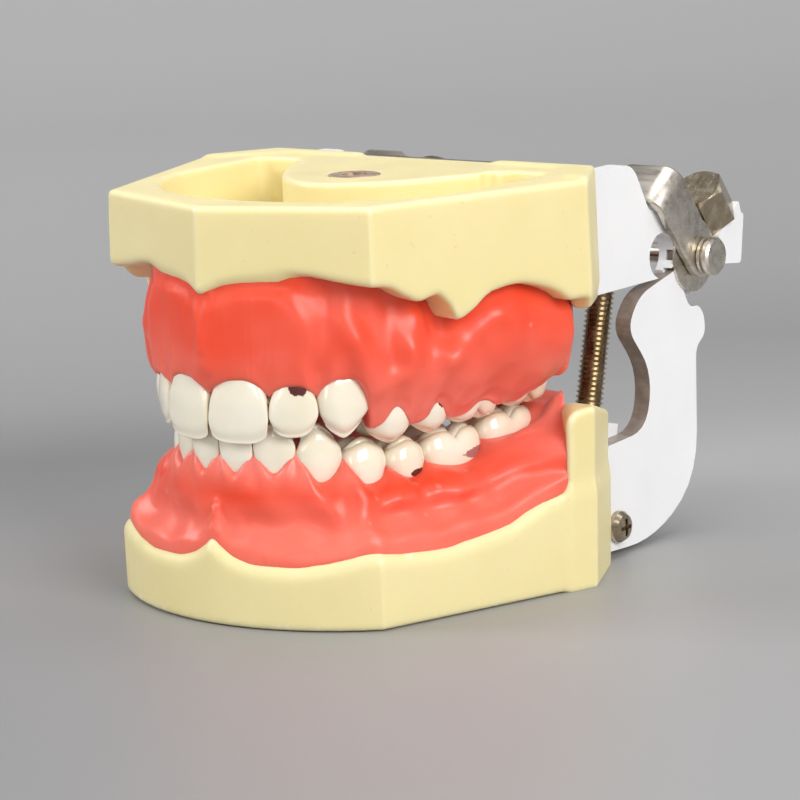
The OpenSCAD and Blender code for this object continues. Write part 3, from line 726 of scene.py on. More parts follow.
def build_base(name, upper):
    outline = UPPER_OUTLINE if upper else LOWER_OUTLINE
    arch = UPPER_ARCH if upper else LOWER_ARCH
    arch_map = UPPER_MAP if upper else LOWER_MAP
    low_z, high_z = (35.0, TOP_Z + 1) if upper else (-1.0, 26.0)
    low = (-HALF_W - 1, FRONT_Y - 1, low_z)
    x, y, z = grid(low, (HALF_W + 1, BACK_Y + 1, high_z), VOXEL_BASE)
    border = border_level(upper, *arch_map(x, y))
    field, wall, face = base_field(outline, x, y, z, upper, border)
    block = smooth_max(block_field(upper, x, y, z), smooth_max(wall, face, 0.8), 0.8)
    field = smooth_min(field, block, 1.4)
    floor = (TOP_Z - RECESS_DEPTH - z) if upper else (z - RECESS_DEPTH)
    field = smooth_max(field, -smooth_max(recess_distance(x, y), floor, 1.2), 0.6)
    hole = np.hypot(x, y - INSERT_Y) - INSERT_R - 0.05
    insert_floor = (TOP_Z - INSERT_DEPTH - z) if upper else (z - INSERT_DEPTH)
    field = np.maximum(field, -np.maximum(hole, insert_floor))
    field = np.maximum(field, -screw_pockets(arch, x, y, z, upper))
    vertices, quads = surface_net(field, low, VOXEL_BASE)
    body = "upper_jaw" if upper else "lower_jaw"
    add_mesh(name + "_cast", vertices, quads, body, "base_plastic", name)


build_base("upper_base", True)
build_base("lower_base", False)


# ---------------------------------------------------------------- gums

# Margins: level at each gap between teeth, and at the middle of each crown
UPPER_PAPILLAE = [30.2, 30.0, 29.7, 25.0, 24.8, 24.6, 24.9, 27.2]
UPPER_MIDDLES = [32.9, 32.2, 32.6, 28.2, 27.8, 26.8, 26.6]
LOWER_PAPILLAE = [23.4, 23.5, 23.4, 21.6, 19.2, 18.9, 19.8, 23.4]
LOWER_MIDDLES = [20.0, 20.0, 18.5, 17.6, 17.6, 17.9, 20.3]
# Height of the ridge over each tooth's root
UPPER_ROOTS = [0.3, 0.25, 0.5, 0.4, 0.3, 0.3, 0.2]
LOWER_ROOTS = [0.25, 0.28, 0.7, 0.25, 0.2, 0.2, 0.1]
# How far the upper gum stands out of the arch, over the tooth count
UPPER_BULGE = [(0, 1.2), (0.5, 1.2), (2.0, 1.0), (2.6, 1.3), (3.5, 2.4), (4.5, 3.4), (5.5, 5.2),
               (6.3, 6.6), (6.6, 6.4), (7.0, 3.2), (7.5, 0.0), (8.2, -3.0)]
# How far a gum's rim stands out of the arch at a crown, at a gap and on average
UPPER_RIM = (0.55, -0.6, 0.2)
LOWER_RIM = (0.55, -0.5, 0.25)
UPPER_GUM_TOP = 47.2
UPPER_GUM_REAR = 17.6
LOWER_GUM_REAR = 20.8
MOUTH_FLOOR = 9.0
# Tooth count over which the lower gum turns to its boxy rear
BOXY_SPAN = (5.7, 6.7)
# Shortfall of the gums' slopes against true distances, so that they don't overshoot
FACIAL_SCALE = {"upper": 0.88, "lower": 0.85}
EDGE_SCALE = 0.75
UPPER_WALL = wall_reach(UPPER_OUTLINE, UPPER_MAP)
LOWER_WALL = wall_reach(LOWER_OUTLINE, LOWER_MAP)


def rim_offset(t, at_crown, at_gap):
    """How far the gum's rim stands out of the arch: out over crowns, in between them."""
    f = np.abs(2 * (t - np.floor(t)) - 1)
    blend = smooth_step(0.45, 1.0, f)
    blend = np.where(t > TEETH, 1 - smooth_step(TEETH, TEETH + 0.1, t), blend)
    return at_crown + (at_gap - at_crown) * blend


def root_bulge(t, heights):
    """Rounded ridge over each root."""
    i = np.clip(np.floor(t).astype(int), 0, TEETH - 1)
    f = np.clip(t - i, 0, 1)
    return np.array(heights)[i] * np.sin(np.pi * f) ** 2


def swell(x, y, z):
    """Slow unevenness of a hand-waxed surface."""
    return (0.10 * np.sin(0.55 * x + 0.31 * z) * np.sin(0.47 * y + 1.3)
            + 0.07 * np.sin(1.1 * y + 0.9 * z + 0.4 * x))


def tooth_depth(arch, t):
    depths = arch["depth"]
    knots = [(0, depths[0])] + [(i + 0.5, d) for i, d in enumerate(depths)] + [(8.2, depths[-1])]
    return curve(knots, t)


def upper_bay(t, f):
    """Pointed papillae between the front teeth, rounded lobes between the back ones."""
    return np.where(t < 3.0, f ** np.where(t < 2.0, 2.0, 3.0), np.sin(np.pi / 2 * f) ** 1.5)


def even_bay(t, f):
    """Smooth version of either, for the shape of the gum above its edge."""
    return np.sin(np.pi / 2 * f) ** 2


def lower_bay(t, f):
    return np.where(t < 2.5, f ** 1.35, f ** 2.2)


def profile(shapes, weights, s):
    """Blend of curves over s, one for each zone of the arch."""
    return sum(w * curve(shape, s) for shape, w in zip(shapes, weights))


# Ridges and hollows on the gum's outer side: start and end as (tooth count, level),
# half width and height in millimetres
UPPER_RIDGES = [((0.16, 43.5), (0.0, 36.5), 0.55, 0.55), ((0.74, 42.0), (0.28, 34.5), 1.8, 0.75),
                ((1.55, 39.5), (1.5, 34.5), 2.0, 0.35), ((2.62, 37.0), (3.0, 31.0), 1.8, 0.85),
                ((3.85, 39.0), (3.55, 32.5), 1.9, 0.75), ((5.2, 38.5), (4.45, 33.5), 1.7, 0.95),
                ((5.45, 38.0), (5.5, 33.0), 3.0, 0.8), ((1.3, 44.5), (2.2, 43.0), 1.8, -0.7),
                ((4.15, 41.0), (4.3, 36.5), 1.6, -0.8), ((3.3, 40.5), (3.35, 34.0), 1.5, -0.5),
                ((2.25, 41.0), (2.0, 34.0), 1.5, -0.35)]
LOWER_RIDGES = [((3.6, 16.2), (4.1, 16.2), 1.2, 0.6), ((4.7, 16.4), (5.1, 16.2), 1.2, 0.6),
                ((5.1, 15.5), (6.4, 18.8), 1.3, 0.8), ((3.3, 13.6), (5.2, 13.8), 1.5, -0.8),
                ((0.9, 13.3), (2.4, 13.6), 1.6, -0.5), ((2.5, 18.0), (2.55, 14.0), 1.6, 0.6),
                ((6.55, 17.0), (6.6, 21.0), 1.5, 0.4), ((0.0, 15.5), (0.12, 12.5), 0.6, 0.6)]
TOOTH_PITCH = 7.6
# Ridges that start before this tooth count are mirrored, so that they meet at the midline
MIRROR_BEFORE = 1.6


def ridges(rows, t, z):
    """Height of the ridges at a tooth count and level."""
    total = 0.0
    for (t0, z0), (t1, z1), half_width, height in rows:
        along_t, along_z = (t1 - t0) * TOOTH_PITCH, z1 - z0
        for mirrored in (t, -t) if t0 < MIRROR_BEFORE else (t,):
            from_t, from_z = (mirrored - t0) * TOOTH_PITCH, z - z0
            share = (from_t * along_t + from_z * along_z) / (along_t ** 2 + along_z ** 2)
            share = np.clip(share, 0, 1)
            square = (from_t - share * along_t) ** 2 + (from_z - share * along_z) ** 2
            total = total + height * np.exp(-square / half_width ** 2)
    return total


# How the gums' outer sides swell from the rim to the border (upper) or the other way (lower)
UPPER_FRONT = [(0, 0.0), (0.12, 0.35), (0.35, 0.9), (0.5, 1.0), (0.75, 0.6), (0.93, 0.25), (1, 0.2)]
UPPER_SIDE = [(0, 0.0), (0.12, 0.38), (0.35, 0.85), (0.6, 1.05), (0.8, 1.0), (0.93, 0.85), (1, 0.8)]
LOWER_FRONT = [(0, 1.0), (0.1, 0.93), (0.22, 0.55), (0.35, 0.34), (0.6, 0.27), (0.85, 0.13), (1, 0)]
LOWER_SIDE = [(0, 1.0), (0.2, 0.97), (0.33, 0.76), (0.5, 0.60), (0.7, 0.48), (0.88, 0.25), (1, 0)]
LOWER_REAR = [(0, 1.0), (0.6, 1.0), (0.85, 0.97), (0.95, 0.86), (1, 0.6)]


def palate(margin, out, t, y, x):
    """Level of the upper gum's inner surface: from the rim behind the teeth up to the vault."""
    inward = -out
    rim_width = tooth_depth(UPPER_ARCH, t) + 0.9
    rim_level = margin - 0.6 * (1 - np.abs(2 * (t - np.floor(t)) - 1))
    climb = smooth_step(0, 8.5, inward - rim_width + 0.8)
    rugae = 0.3 * np.cos(1.9 * y + 0.5 * np.abs(x)) * np.exp(-((y + 13) / 5.5) ** 2)
    rugae = rugae * smooth_step(0.6, 2.5, np.abs(x))
    vault = 41.0 - 4.5 * np.exp(-((y + 22) / 9.0) ** 2) + rugae
    return rim_level + (vault - rim_level) * climb


def upper_gum_field(x, y, z):
    t, out = UPPER_MAP(x, y)
    border = border_level(True, t, out)
    margin = scallop(UPPER_PAPILLAE, UPPER_MIDDLES, t, upper_bay)
    base = scallop(UPPER_PAPILLAE, UPPER_MIDDLES, t, even_bay)
    margin = margin + 7.0 * smooth_step(7.0, 7.55, t) ** 1.5
    at_crown, at_gap, mean = UPPER_RIM
    rim = rim_offset(t, at_crown, at_gap)
    bulge = curve(UPPER_BULGE, t)
    s = np.clip((z - base) / (border + 0.4 - base), 0, 1)
    rear = smooth_step(4.3, 5.6, t)
    side = profile([UPPER_FRONT, UPPER_SIDE], [1 - rear, rear], s)
    side = mean + (bulge - mean) * side + (rim - mean) * (1 - smooth_step(0, 0.4, s))
    side = side + root_bulge(t, UPPER_ROOTS) * np.sin(np.pi * s) ** 0.8
    side = side + ridges(UPPER_RIDGES, t, z) * smooth_step(0, 0.25, s)
    side = side + swell(x, y, z) * smooth_step(0, 0.3, s)
    reach = curve(UPPER_WALL, t) + 0.2 - 0.65 * smooth_step(-3.0, 0.0, z - border)
    side = smooth_min(side, reach, 1.6)
    facial = (out - side) * FACIAL_SCALE["upper"]
    under = (palate(margin, out, t, y, x) - z) * EDGE_SCALE
    field = smooth_max(facial, under, 0.7)
    field = smooth_max(field, y - UPPER_GUM_REAR, 1.2)
    top = np.minimum(border + 1.2 - 0.6 * smooth_step(0, 2, -out), UPPER_GUM_TOP)
    return np.maximum(field, z - top)


def lower_gum_field(x, y, z):
    t, out = LOWER_MAP(x, y)
    border = border_level(False, t, out)
    margin = scallop(LOWER_PAPILLAE, LOWER_MIDDLES, t, lower_bay)
    base = scallop(LOWER_PAPILLAE, LOWER_MIDDLES, t, even_bay) + smooth_step(7.0, 7.3, t)
    margin = margin + 1.0 * smooth_step(7.0, 7.3, t)
    boxy = smooth_step(*BOXY_SPAN, t)
    at_crown, at_gap, mean = LOWER_RIM
    rim = rim_offset(t, at_crown, at_gap)
    wall = np.minimum(curve(LOWER_WALL, t), 13.5) - 0.9 + 0.85 * boxy
    s = np.clip((z - border + 0.3) / (base + 0.3 + 1.2 * boxy - border), 0, 1)
    front = 1 - smooth_step(2.0, 3.4, t)
    weights = [front * (1 - boxy), (1 - front) * (1 - boxy), boxy]
    side = profile([LOWER_FRONT, LOWER_SIDE, LOWER_REAR], weights, s)
    side = mean + (wall - mean) * side
    side = side + (rim - mean) * smooth_step(0.55, 1.0, s)
    fade = np.sin(np.pi * s) ** 0.8
    side = side + root_bulge(t, LOWER_ROOTS) * fade * s
    side = side + (ridges(LOWER_RIDGES, t, z) + swell(x, y, z)) * fade
    facial = (out - side) * FACIAL_SCALE["lower"]
    rim_width = tooth_depth(LOWER_ARCH, t) + 0.9
    fall = smooth_step(0, 5.0, -out - rim_width + 0.6)
    level = margin - (margin - MOUTH_FLOOR) * fall
    shelf = margin + (2.2 - 0.16 * out) * boxy * smooth_step(0.5, 3.5, out)
    level = np.where(out > 0, shelf, level)
    over = (z - level) * EDGE_SCALE
    field = smooth_max(facial, over, 0.9)
    field = np.maximum(field, (border - 0.9) - z)
    behind = -outline_distance(LOWER_BLOCK, np.abs(x), y) - 0.6
    return np.maximum(np.maximum(field, behind), y - LOWER_GUM_REAR)


def build_gum(name, upper):
    low = (-32.0, -31.0, 22.5) if upper else (-32.0, -30.0, 7.0)
    high = (32.0, 19.0, 47.5) if upper else (32.0, 21.5, 26.5)
    x, y, z = grid(low, high, VOXEL_GUM)
    field = (upper_gum_field if upper else lower_gum_field)(x, y, z)
    vertices, quads = surface_net(field.astype(np.float32), low, VOXEL_GUM)
    body = "upper_jaw" if upper else "lower_jaw"
    piece = add_mesh(name + "_sculpted", vertices, quads, body, "gum_silicone", name)
    smoother = piece.modifiers.new("soften", "SMOOTH")
    smoother.factor = 0.5
    smoother.iterations = 3


build_gum("upper_gum", True)
build_gum("lower_gum", False)


# ---------------------------------------------------------------- teeth

AROUND = 56
RINGS = 20
CAP_RINGS = 9

# Profiles over a crown's height, from neck (0) to tip (1)
WIDTH = {
    "central": [(0, 0.60), (0.2, 0.76), (0.45, 0.94), (0.75, 1.0), (1, 0.93)],
    "lateral": [(0, 0.55), (0.2, 0.72), (0.5, 0.96), (0.72, 1.0), (1, 0.84)],
    "canine": [(0, 0.66), (0.12, 0.82), (0.3, 0.95), (0.5, 1.0), (0.72, 0.96), (1, 0.72)],
    "premolar": [(0, 0.68), (0.35, 0.86), (0.65, 1.0), (0.85, 0.97), (1, 0.84)],
    "molar": [(0, 0.80), (0.35, 0.92), (0.65, 1.0), (0.85, 0.98), (1, 0.88)],
}
FACE = {
    "central": [(0, -0.3), (0.2, 0.15), (0.5, 0.45), (0.8, 0.35), (1, 0.0)],
    "lateral": [(0, -0.3), (0.2, 0.15), (0.5, 0.40), (0.8, 0.25), (1, -0.2)],
    "canine": [(0, -0.2), (0.2, 0.35), (0.5, 0.75), (0.8, 0.45), (1, -0.4)],
    "premolar": [(0, -0.3), (0.3, 0.35), (0.5, 0.45), (0.8, -0.1), (1, -1.2)],
    "molar": [(0, -0.3), (0.3, 0.35), (0.5, 0.40), (0.8, -0.2), (1, -1.3)],
}
# Share of the depth that is left behind the face
TONGUE = {
    "central": [(0, 0.86), (0.3, 0.92), (0.55, 0.62), (0.8, 0.36), (1, 0.24)],
    "lateral": [(0, 0.86), (0.3, 0.92), (0.55, 0.62), (0.8, 0.38), (1, 0.26)],
    "canine": [(0, 0.86), (0.3, 0.95), (0.55, 0.76), (0.8, 0.48), (1, 0.26)],
    "premolar": [(0, 0.84), (0.3, 0.97), (0.6, 1.0), (0.8, 0.97), (1, 0.84)],
    "molar": [(0, 0.86), (0.3, 0.98), (0.6, 1.0), (0.8, 0.97), (1, 0.86)],
}
# How far a face's edges fall back, and how close to the face a crown is widest
FACE_CURVE = {"central": 0.45, "lateral": 0.5, "canine": 0.7, "premolar": 0.5, "molar": 0.5}
FACE_BIAS = {"central": 2.2, "lateral": 2.0, "canine": 1.7, "premolar": 1.3, "molar": 1.2}
# Exponent of a ring's superellipse, narrowing towards the tongue, and radius of the tip's edge
SQUARE = {"central": 2.7, "lateral": 2.5, "canine": 2.3, "premolar": 2.5, "molar": 3.1}
TAPER = {"central": 0.42, "lateral": 0.46, "canine": 0.46, "premolar": 0.20, "molar": 0.12}
TIP_EDGE = {"central": 0.35, "lateral": 0.35, "canine": 0.4, "premolar": 0.75, "molar": 0.85}
# Rings of the root, as (share of the neck's size, millimetres below it)
ROOT = ((0.18, 6.0), (0.42, 5.4), (0.55, 3.4), (0.72, 1.4))
# Share of a tooth's pitch that its crown fills: front teeth, other teeth
FILL = (0.975, 0.99)
FRONT_TEETH = 3


def biting_relief(kind, u, v, upper):
    """How far the biting surface falls short of the tip. u and v run from -1 to 1."""
    if kind == "central":
        return 0.75 * np.abs(u) ** 4 + 0.25 * (u > 0) * u ** 4
    if kind == "lateral":
        return 0.95 * np.abs(u) ** 3 + 0.3 * (u > 0) * u ** 2
    if kind == "canine":
        return 1.7 * np.abs(u + 0.08) ** 1.35
    facial = smooth_step(-0.25, 0.75, v)
    if kind == "premolar":
        cusp = 1.25 * np.abs(u) ** 1.3
        fossa = 1.7 * np.exp(-((v - 0.05) / 0.28) ** 2) * (1 - 0.35 * np.abs(u) ** 2)
        lingual = 0.35 if upper else 1.0
        return cusp * (0.45 + 0.55 * facial) + fossa + 0.8 * lingual * (1 - facial)
    waves = 0.85 * (1 - np.abs(np.sin(np.pi * (np.abs(u) * 0.98 + 0.02)))) ** 1.4
    fossa = 1.5 * np.exp(-(v / 0.34) ** 2) * (0.75 + 0.25 * np.cos(2.6 * u))
    groove = 0.55 * np.exp(-(u / 0.10) ** 2)
    corner = 0.5 * np.abs(u) ** 5
    return waves + fossa + groove + corner + (0.15 if upper else 0.45) * (1 - facial)


def crown_rings(kind, width, depth, height, upper):
    """Rings of a crown in its own frame: u along the arch, w out, h from the neck."""
    angle = np.linspace(0, 2 * np.pi, AROUND, endpoint=False)
    power = 2 / SQUARE[kind]
    c = np.sign(np.cos(angle)) * np.abs(np.cos(angle)) ** power
    s = np.sign(np.sin(angle)) * np.abs(np.sin(angle)) ** power
    levels = [(h, 1.0) for h in np.linspace(0, 1, RINGS) ** 0.9]
    levels += [(1.0, math.cos(a)) for a in np.linspace(0, np.pi / 2, CAP_RINGS)[1:-1]]
    rings = []
    edge = TIP_EDGE[kind]
    for level, share in levels:
        half_u = width / 2 * float(curve(WIDTH[kind], np.array([level]))[0])
        front = float(curve(FACE[kind], np.array([level]))[0])
        back = front - depth * float(curve(TONGUE[kind], np.array([level]))[0])
        v = s * share
        u = c * share * (1 - TAPER[kind] * np.maximum(0, -v))
        sides = FACE_CURVE[kind] * np.abs(u) ** 2.4 * (v > 0) * v
        w = front - (front - back) * ((1 - v) / 2) ** FACE_BIAS[kind] - sides
        drop = biting_relief(kind, u, v, upper)
        round_off = edge * (1 - np.sqrt(np.maximum(0, 1 - share ** 2)))
        h = level * height - (round_off if share < 1 else edge * smooth_step(0.9, 1.0, level))
        h = h - drop * smooth_step(0.25, 1.0, level)
        rings.append(np.stack([u * half_u, w, h], 1))
    return rings


def root_rings(ring):
    """Short tapering root below the neck ring, hidden in the gum."""
    centre = ring.mean(0)
    return [centre + (ring - centre) * share - np.array([0, 0, down]) for share, down in ROOT]


def build_tooth(jaw, side, i):
    upper = jaw == "upper"
    arch = UPPER_ARCH if upper else LOWER_ARCH
    kind = KINDS[i]
    width = arch["width"][i] * FILL[i >= FRONT_TEETH]
    height = abs(arch["tip"][i] - arch["neck"][i])
    rings = crown_rings(kind, width, arch["depth"][i], height, upper)
    rings = root_rings(rings[0]) + rings
    local = np.concatenate(rings + [rings[-1].mean(0)[None], rings[0].mean(0)[None]])
    points = corner_points(arch)
    middle = (points[i] + points[i + 1]) / 2
    turn = math.radians(arch["turn"][i])
    along = np.array([math.cos(turn), math.sin(turn)])
    outward = np.array([math.sin(turn), -math.cos(turn)])
    plan = middle + local[:, :1] * along + local[:, 1:2] * outward
    sign = SIDES[side]
    z = arch["neck"][i] + (-1 if upper else 1) * local[:, 2]
    vertices = np.column_stack([plan[:, 0] * sign, plan[:, 1], z])
    faces = loft_faces(len(rings), AROUND)
    tip, bottom = len(rings) * AROUND, len(rings) * AROUND + 1
    last = (len(rings) - 1) * AROUND
    faces += [(last + k, last + (k + 1) % AROUND, tip) for k in range(AROUND)]
    faces += [((k + 1) % AROUND, k, bottom) for k in range(AROUND)]
    if (sign > 0) == upper:
        faces = [f[::-1] for f in faces]
    name = "%s_%s_%s" % (jaw, side, TOOTH_NAMES[i])
    add_mesh(name + "_crown", vertices, faces, jaw + "_jaw", "tooth_resin", name,
             tooth_material(name))


# Painted practice faults on four teeth of the left side: centre, size, kind
FAULTS = {
    "upper_left_lateral_incisor": [((11.9, -24.2, 31.5), (1.4, 1.5, 1.1), "caries")],
    "upper_left_second_premolar": [((21.4, -5.6, 27.2), (1.2, 1.0, 0.6), "caries")],
    "lower_left_second_premolar": [((18.0, -7.3, 17.9), (1.4, 1.5, 0.6), "caries")],
    "lower_left_first_molar": [((20.1, 3.8, 18.9), (1.8, 3.3, 0.8), "calculus")],
}


def tooth_material(name):
    if name in FAULTS:
        return tooth_resin("tooth_resin_" + name, FAULTS[name])
    return MATERIALS["tooth_resin"]


for jaw in ("upper", "lower"):
    for side in SIDES:
        for i in range(TEETH):
            build_tooth(jaw, side, i)


# ---------------------------------------------------------------- metalwork

SLOT_OF = {part["node"]: part["material_slot"] for part in record["subparts"]}
METALS = ("bracket_paint", "hinge_steel", "screw_steel", "insert_brass")
EDGE_RADII = {"upper_bracket": 0.5, "lower_bracket": 0.5, "arm_left": 0.3, "arm_right": 0.3,
              "hinge_axle": 0.12, "hinge_washers": 0.12, "arm_screws": 0.1}
BEVEL_ANGLE = math.radians(38)
HINGE = {joint["name"]: joint for joint in record["behaviour"]["joints"]}["bail_swing"]
# The bail's strap, in millimetres: lean of its legs, reach from the hinge, sheet, outer bend,
# and half widths at the foot, at the shoulder and across the back
BAIL_LEAN = math.radians(37.9)
BAIL_REACH = 13.0
BAIL_T = 1.5
BAIL_BEND = 2.6
BAIL_HALF_W = 3.0
BAIL_SHOULDER = 3.4
BAIL_WEB = 2.4
BAIL_CORNER = 0.35


def finish_metal(name):
    """Keeps a CAD part, with its sharp edges eased and its own finish."""
    obj = frame["nodes"][name]
    slot = SLOT_OF[name]
    obj.data.materials.clear()
    is_arm = name.startswith("arm_") and slot == "bracket_paint"
    obj.data.materials.append(MATERIALS["arm_paint_shaded_edges" if is_arm else slot])
    if name in EDGE_RADII:
        bevel = obj.modifiers.new("soft_edges", "BEVEL")
        bevel.width = EDGE_RADII[name] * MM
        bevel.segments = 3
        bevel.limit_method = "ANGLE"
        bevel.angle_limit = BEVEL_ANGLE


def bail_path():
    """Middle of the bent sheet from the left leg's foot to the right one's, and half widths."""
    x = box_mm("bail")[1][0] - BAIL_T / 2
    top = BAIL_REACH + BAIL_T / 2
    r = BAIL_BEND - BAIL_T / 2
    half = []
    for a in np.linspace(0, np.pi / 2, 9)[1:]:
        half.append((x, -BAIL_HALF_W * math.cos(a), BAIL_HALF_W * math.sin(a)))
    widen = (BAIL_SHOULDER - BAIL_HALF_W) / 10
    half += [(x, h, BAIL_HALF_W + widen * h) for h in np.linspace(0.5, 10, 12)]
    for a in np.linspace(0, np.pi / 2, 9):
        half.append((x - r + r * math.cos(a), top - r + r * math.sin(a), BAIL_SHOULDER))
    half += [(20.0, top, BAIL_SHOULDER), (18.8, top, BAIL_WEB + 0.2), (18.0, top, BAIL_WEB)]
    half += [(h, top, BAIL_WEB) for h in np.linspace(15, 0, 6)]
    return np.array(half + [(-a, h, w) for a, h, w in reversed(half[:-1])])


def build_bail():
    """Sweeps a rectangle with round corners along the bail's path, then leans it."""
    path = bail_path()
    along = np.gradient(path[:, :2], axis=0)
    along /= np.linalg.norm(along, axis=1)[:, None]
    outward = np.stack([along[:, 1], -along[:, 0]], 1)
    section = []
    for cx, cy, start in ((1, 1, 0), (-1, 1, 90), (-1, -1, 180), (1, -1, 270)):
        for a in np.radians(start + np.linspace(0, 90, 4)):
            section.append((cx, cy, BAIL_CORNER * (math.cos(a) - cx),
                            BAIL_CORNER * (math.sin(a) - cy)))
    vertices = []
    hinge = np.array(HINGE["pos_m"]) / MM
    for (x, h, half_w), side in zip(path, outward):
        for cx, cy, dx, dy in section:
            across = max(half_w, BAIL_CORNER) * cx + dx
            out = BAIL_T / 2 * cy + dy
            px, ph = x + side[0] * out, h + side[1] * out
            y = hinge[1] + across * math.cos(BAIL_LEAN) - ph * math.sin(BAIL_LEAN)
            z = hinge[2] + across * math.sin(BAIL_LEAN) + ph * math.cos(BAIL_LEAN)
            vertices.append((px, y, z))
    n = len(section)
    faces = [(r * n + k, (r + 1) * n + k, (r + 1) * n + (k + 1) % n, r * n + (k + 1) % n)
             for r in range(len(path) - 1) for k in range(n)]
    faces += [tuple(range(n)), tuple(range(len(vertices) - 1, len(vertices) - n - 1, -1))]
    add_mesh("bail_bent", vertices, faces, "bail", "hinge_steel", "bail")


for name, slot in SLOT_OF.items():
    if slot in METALS and name != "bail":
        finish_metal(name)
build_bail()


# ---------------------------------------------------------------- studio

CAMERA = {"azimuth": 36.98, "elevation": 11.11, "roll": -2.03, "distance": 0.4696,
          "target": (0.00697, 0.00391, 0.02459), "lens": 155.96, "sensor": 36}
# Name, place, size in metres, power and colour. All lights aim at LIT.
LIT = (0, 0, 0.03)
LIGHTS = [
    ("key", (0.78, -0.26, 0.48), (0.50, 0.45), 6.6, (1.0, 0.985, 0.96)),
    ("fill", (-0.60, -0.42, 0.42), (0.35, 0.30), 3.4, (1, 1, 1)),
    ("front", (0.20, -0.90, 0.30), (0.30, 0.25), 0.9, (1, 1, 1)),
    ("top", (0.05, 0.10, 0.85), (0.6, 0.6), 2.4, (1, 1, 1)),
]
WORLD_STRENGTH = 0.62
WORLD_SHADES = ((0.0, 0.25), (0.45, 0.30), (0.62, 0.75), (1.0, 1.0))


def add_camera():
    azimuth, elevation, roll = (math.radians(CAMERA[k]) for k in ("azimuth", "elevation", "roll"))
    level = math.cos(elevation)
    back = Vector((math.sin(azimuth) * level, -math.cos(azimuth) * level, math.sin(elevation)))
    right = Vector((math.cos(azimuth), math.sin(azimuth), 0))
    up = back.cross(right)
    rolled_right = math.cos(roll) * right + math.sin(roll) * up
    rolled_up = -math.sin(roll) * right + math.cos(roll) * up
    camera = bpy.data.objects.new("camera", bpy.data.cameras.new("camera"))
    bpy.context.scene.collection.objects.link(camera)
    turn = Matrix((rolled_right, rolled_up, back)).transposed().to_4x4()
    place = Vector(CAMERA["target"]) + back * CAMERA["distance"]
    camera.matrix_world = Matrix.Translation(place) @ turn
    camera.data.lens = CAMERA["lens"]
    camera.data.sensor_width = CAMERA["sensor"]
    camera.data.clip_start = 0.01
    bpy.context.scene.camera = camera


def add_area(name, place, size, power, colour):
    light = bpy.data.lights.new(name, "AREA")
    light.shape = "RECTANGLE"
    light.size, light.size_y = size
    light.energy = power
    light.color = colour
    lamp = bpy.data.objects.new(name, light)
    bpy.context.scene.collection.objects.link(lamp)
    lamp.location = place
    lamp.rotation_euler = (Vector(LIT) - Vector(place)).to_track_quat("-Z", "Y").to_euler()


# Floor and backdrop: distance behind the object in metres, and shades (share of that span,
# value) on the left and on the right of the view. These shades are painted light and shade: a
# band of painted shadow on the left, a pool of painted light near the object on the right, and
# a backdrop painted lighter towards its top.
FLOOR_TURN = math.radians(37)
FLOOR_HALF_W = 3.0
FLOOR_NEAR = -2.0
BEND_START = 0.55
BEND_R = 0.5
BEND_STEPS = 24
WALL_TOP = 2.6
FLOOR_BLUE = 1.012
FLOOR_SPAN = (-0.1, 0.75)
FLOOR_PAINTED_LIGHT_AND_SHADE = [[(0.02, 0.25), (0.06, 0.285), (0.12, 0.235), (0.18, 0.30), (0.39, 0.36), (1, 0.50)],
                [(0.02, 0.32), (0.09, 0.395), (0.15, 0.315), (0.25, 0.27), (0.39, 0.335), (1, 0.50)]]


def along(material, direction):
    """Position along a level direction."""
    product = node(material, "ShaderNodeVectorMath", operation="DOT_PRODUCT")
    link(material, place_of(material), product.inputs[0])
    product.inputs[1].default_value = direction
    return product.outputs["Value"]


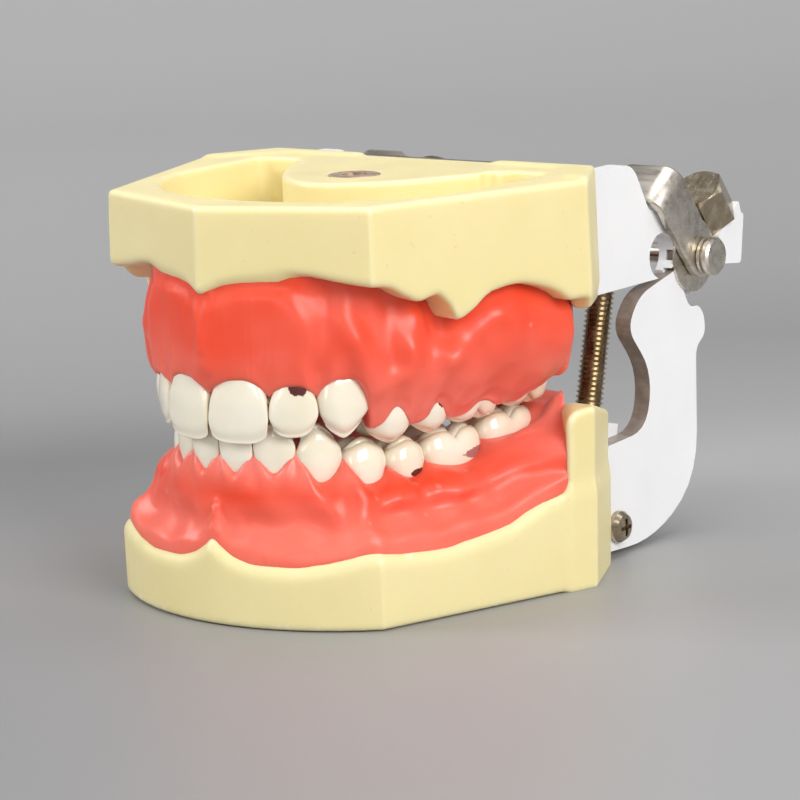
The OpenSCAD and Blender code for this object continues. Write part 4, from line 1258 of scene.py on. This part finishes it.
def add_floor():
    """Wide pale floor that curves up behind the object, coloured with painted shadow and painted
    light.
    """
    back = Vector((-math.sin(FLOOR_TURN), math.cos(FLOOR_TURN), 0))
    side = Vector((back.y, -back.x, 0))
    outline = [(FLOOR_NEAR, 0.0)]
    for k in range(BEND_STEPS + 1):
        a = math.pi / 2 * k / BEND_STEPS
        outline.append((BEND_START + BEND_R * math.sin(a), BEND_R - BEND_R * math.cos(a)))
    outline.append((BEND_START + BEND_R, WALL_TOP))
    vertices, faces = [], []
    for distance, height in outline:
        for s in (-FLOOR_HALF_W, FLOOR_HALF_W):
            vertices.append(back * distance + side * s + Vector((0, 0, height - 0.0001)))
    for k in range(len(outline) - 1):
        faces.append((2 * k, 2 * k + 1, 2 * k + 3, 2 * k + 2))
    mesh = bpy.data.meshes.new("floor")
    mesh.from_pydata(vertices, [], faces)
    mesh.shade_smooth()
    floor = bpy.data.objects.new("floor", mesh)
    bpy.context.scene.collection.objects.link(floor)
    material, shader = new_material("floor", 0.45)
    distance = map_range(material, along(material, back), *FLOOR_SPAN, 0, 1)
    painted_light_ramps = []
    for stops in FLOOR_PAINTED_LIGHT_AND_SHADE:
        colours = [[at, (value, value, FLOOR_BLUE * value)] for at, value in stops]
        painted_light_ramps.append(ramp(material, distance, colours))
    # mix from the left's painted shadow to the right's painted light
    right = map_range(material, along(material, side), -0.05, 0.05, 0, 1)
    colour = mix(material, right, *painted_light_ramps)
    grain = map_range(material, noise(material, 2, 2), 0.3, 0.7, 0, 0.04)
    link(material, mix(material, grain, colour, (0.40, 0.40, 0.41)), shader.inputs["Base Color"])
    mesh.materials.append(material)


def set_world():
    """Even studio light: bright above, darker towards the floor."""
    world = bpy.data.worlds.new("studio")
    bpy.context.scene.world = world
    world.use_nodes = True
    tree = world.node_tree
    background = tree.nodes["Background"]
    background.inputs["Strength"].default_value = WORLD_STRENGTH
    place = tree.nodes.new("ShaderNodeTexCoord")
    split = tree.nodes.new("ShaderNodeSeparateXYZ")
    shade = tree.nodes.new("ShaderNodeValToRGB")
    while len(shade.color_ramp.elements) < len(WORLD_SHADES):
        shade.color_ramp.elements.new(0.5)
    for element, (at, value) in zip(shade.color_ramp.elements, WORLD_SHADES):
        element.position = at
        element.color = (value, value, 1.01 * value, 1)
    scale = tree.nodes.new("ShaderNodeMapRange")
    scale.inputs["From Min"].default_value = -1
    tree.links.new(place.outputs["Generated"], split.inputs["Vector"])
    tree.links.new(split.outputs["Z"], scale.inputs["Value"])
    tree.links.new(scale.outputs["Result"], shade.inputs["Fac"])
    tree.links.new(shade.outputs["Color"], background.inputs["Color"])


bpy.context.scene.view_settings.view_transform = "Standard"
add_camera()
add_floor()
set_world()
for light in LIGHTS:
    add_area(*light)
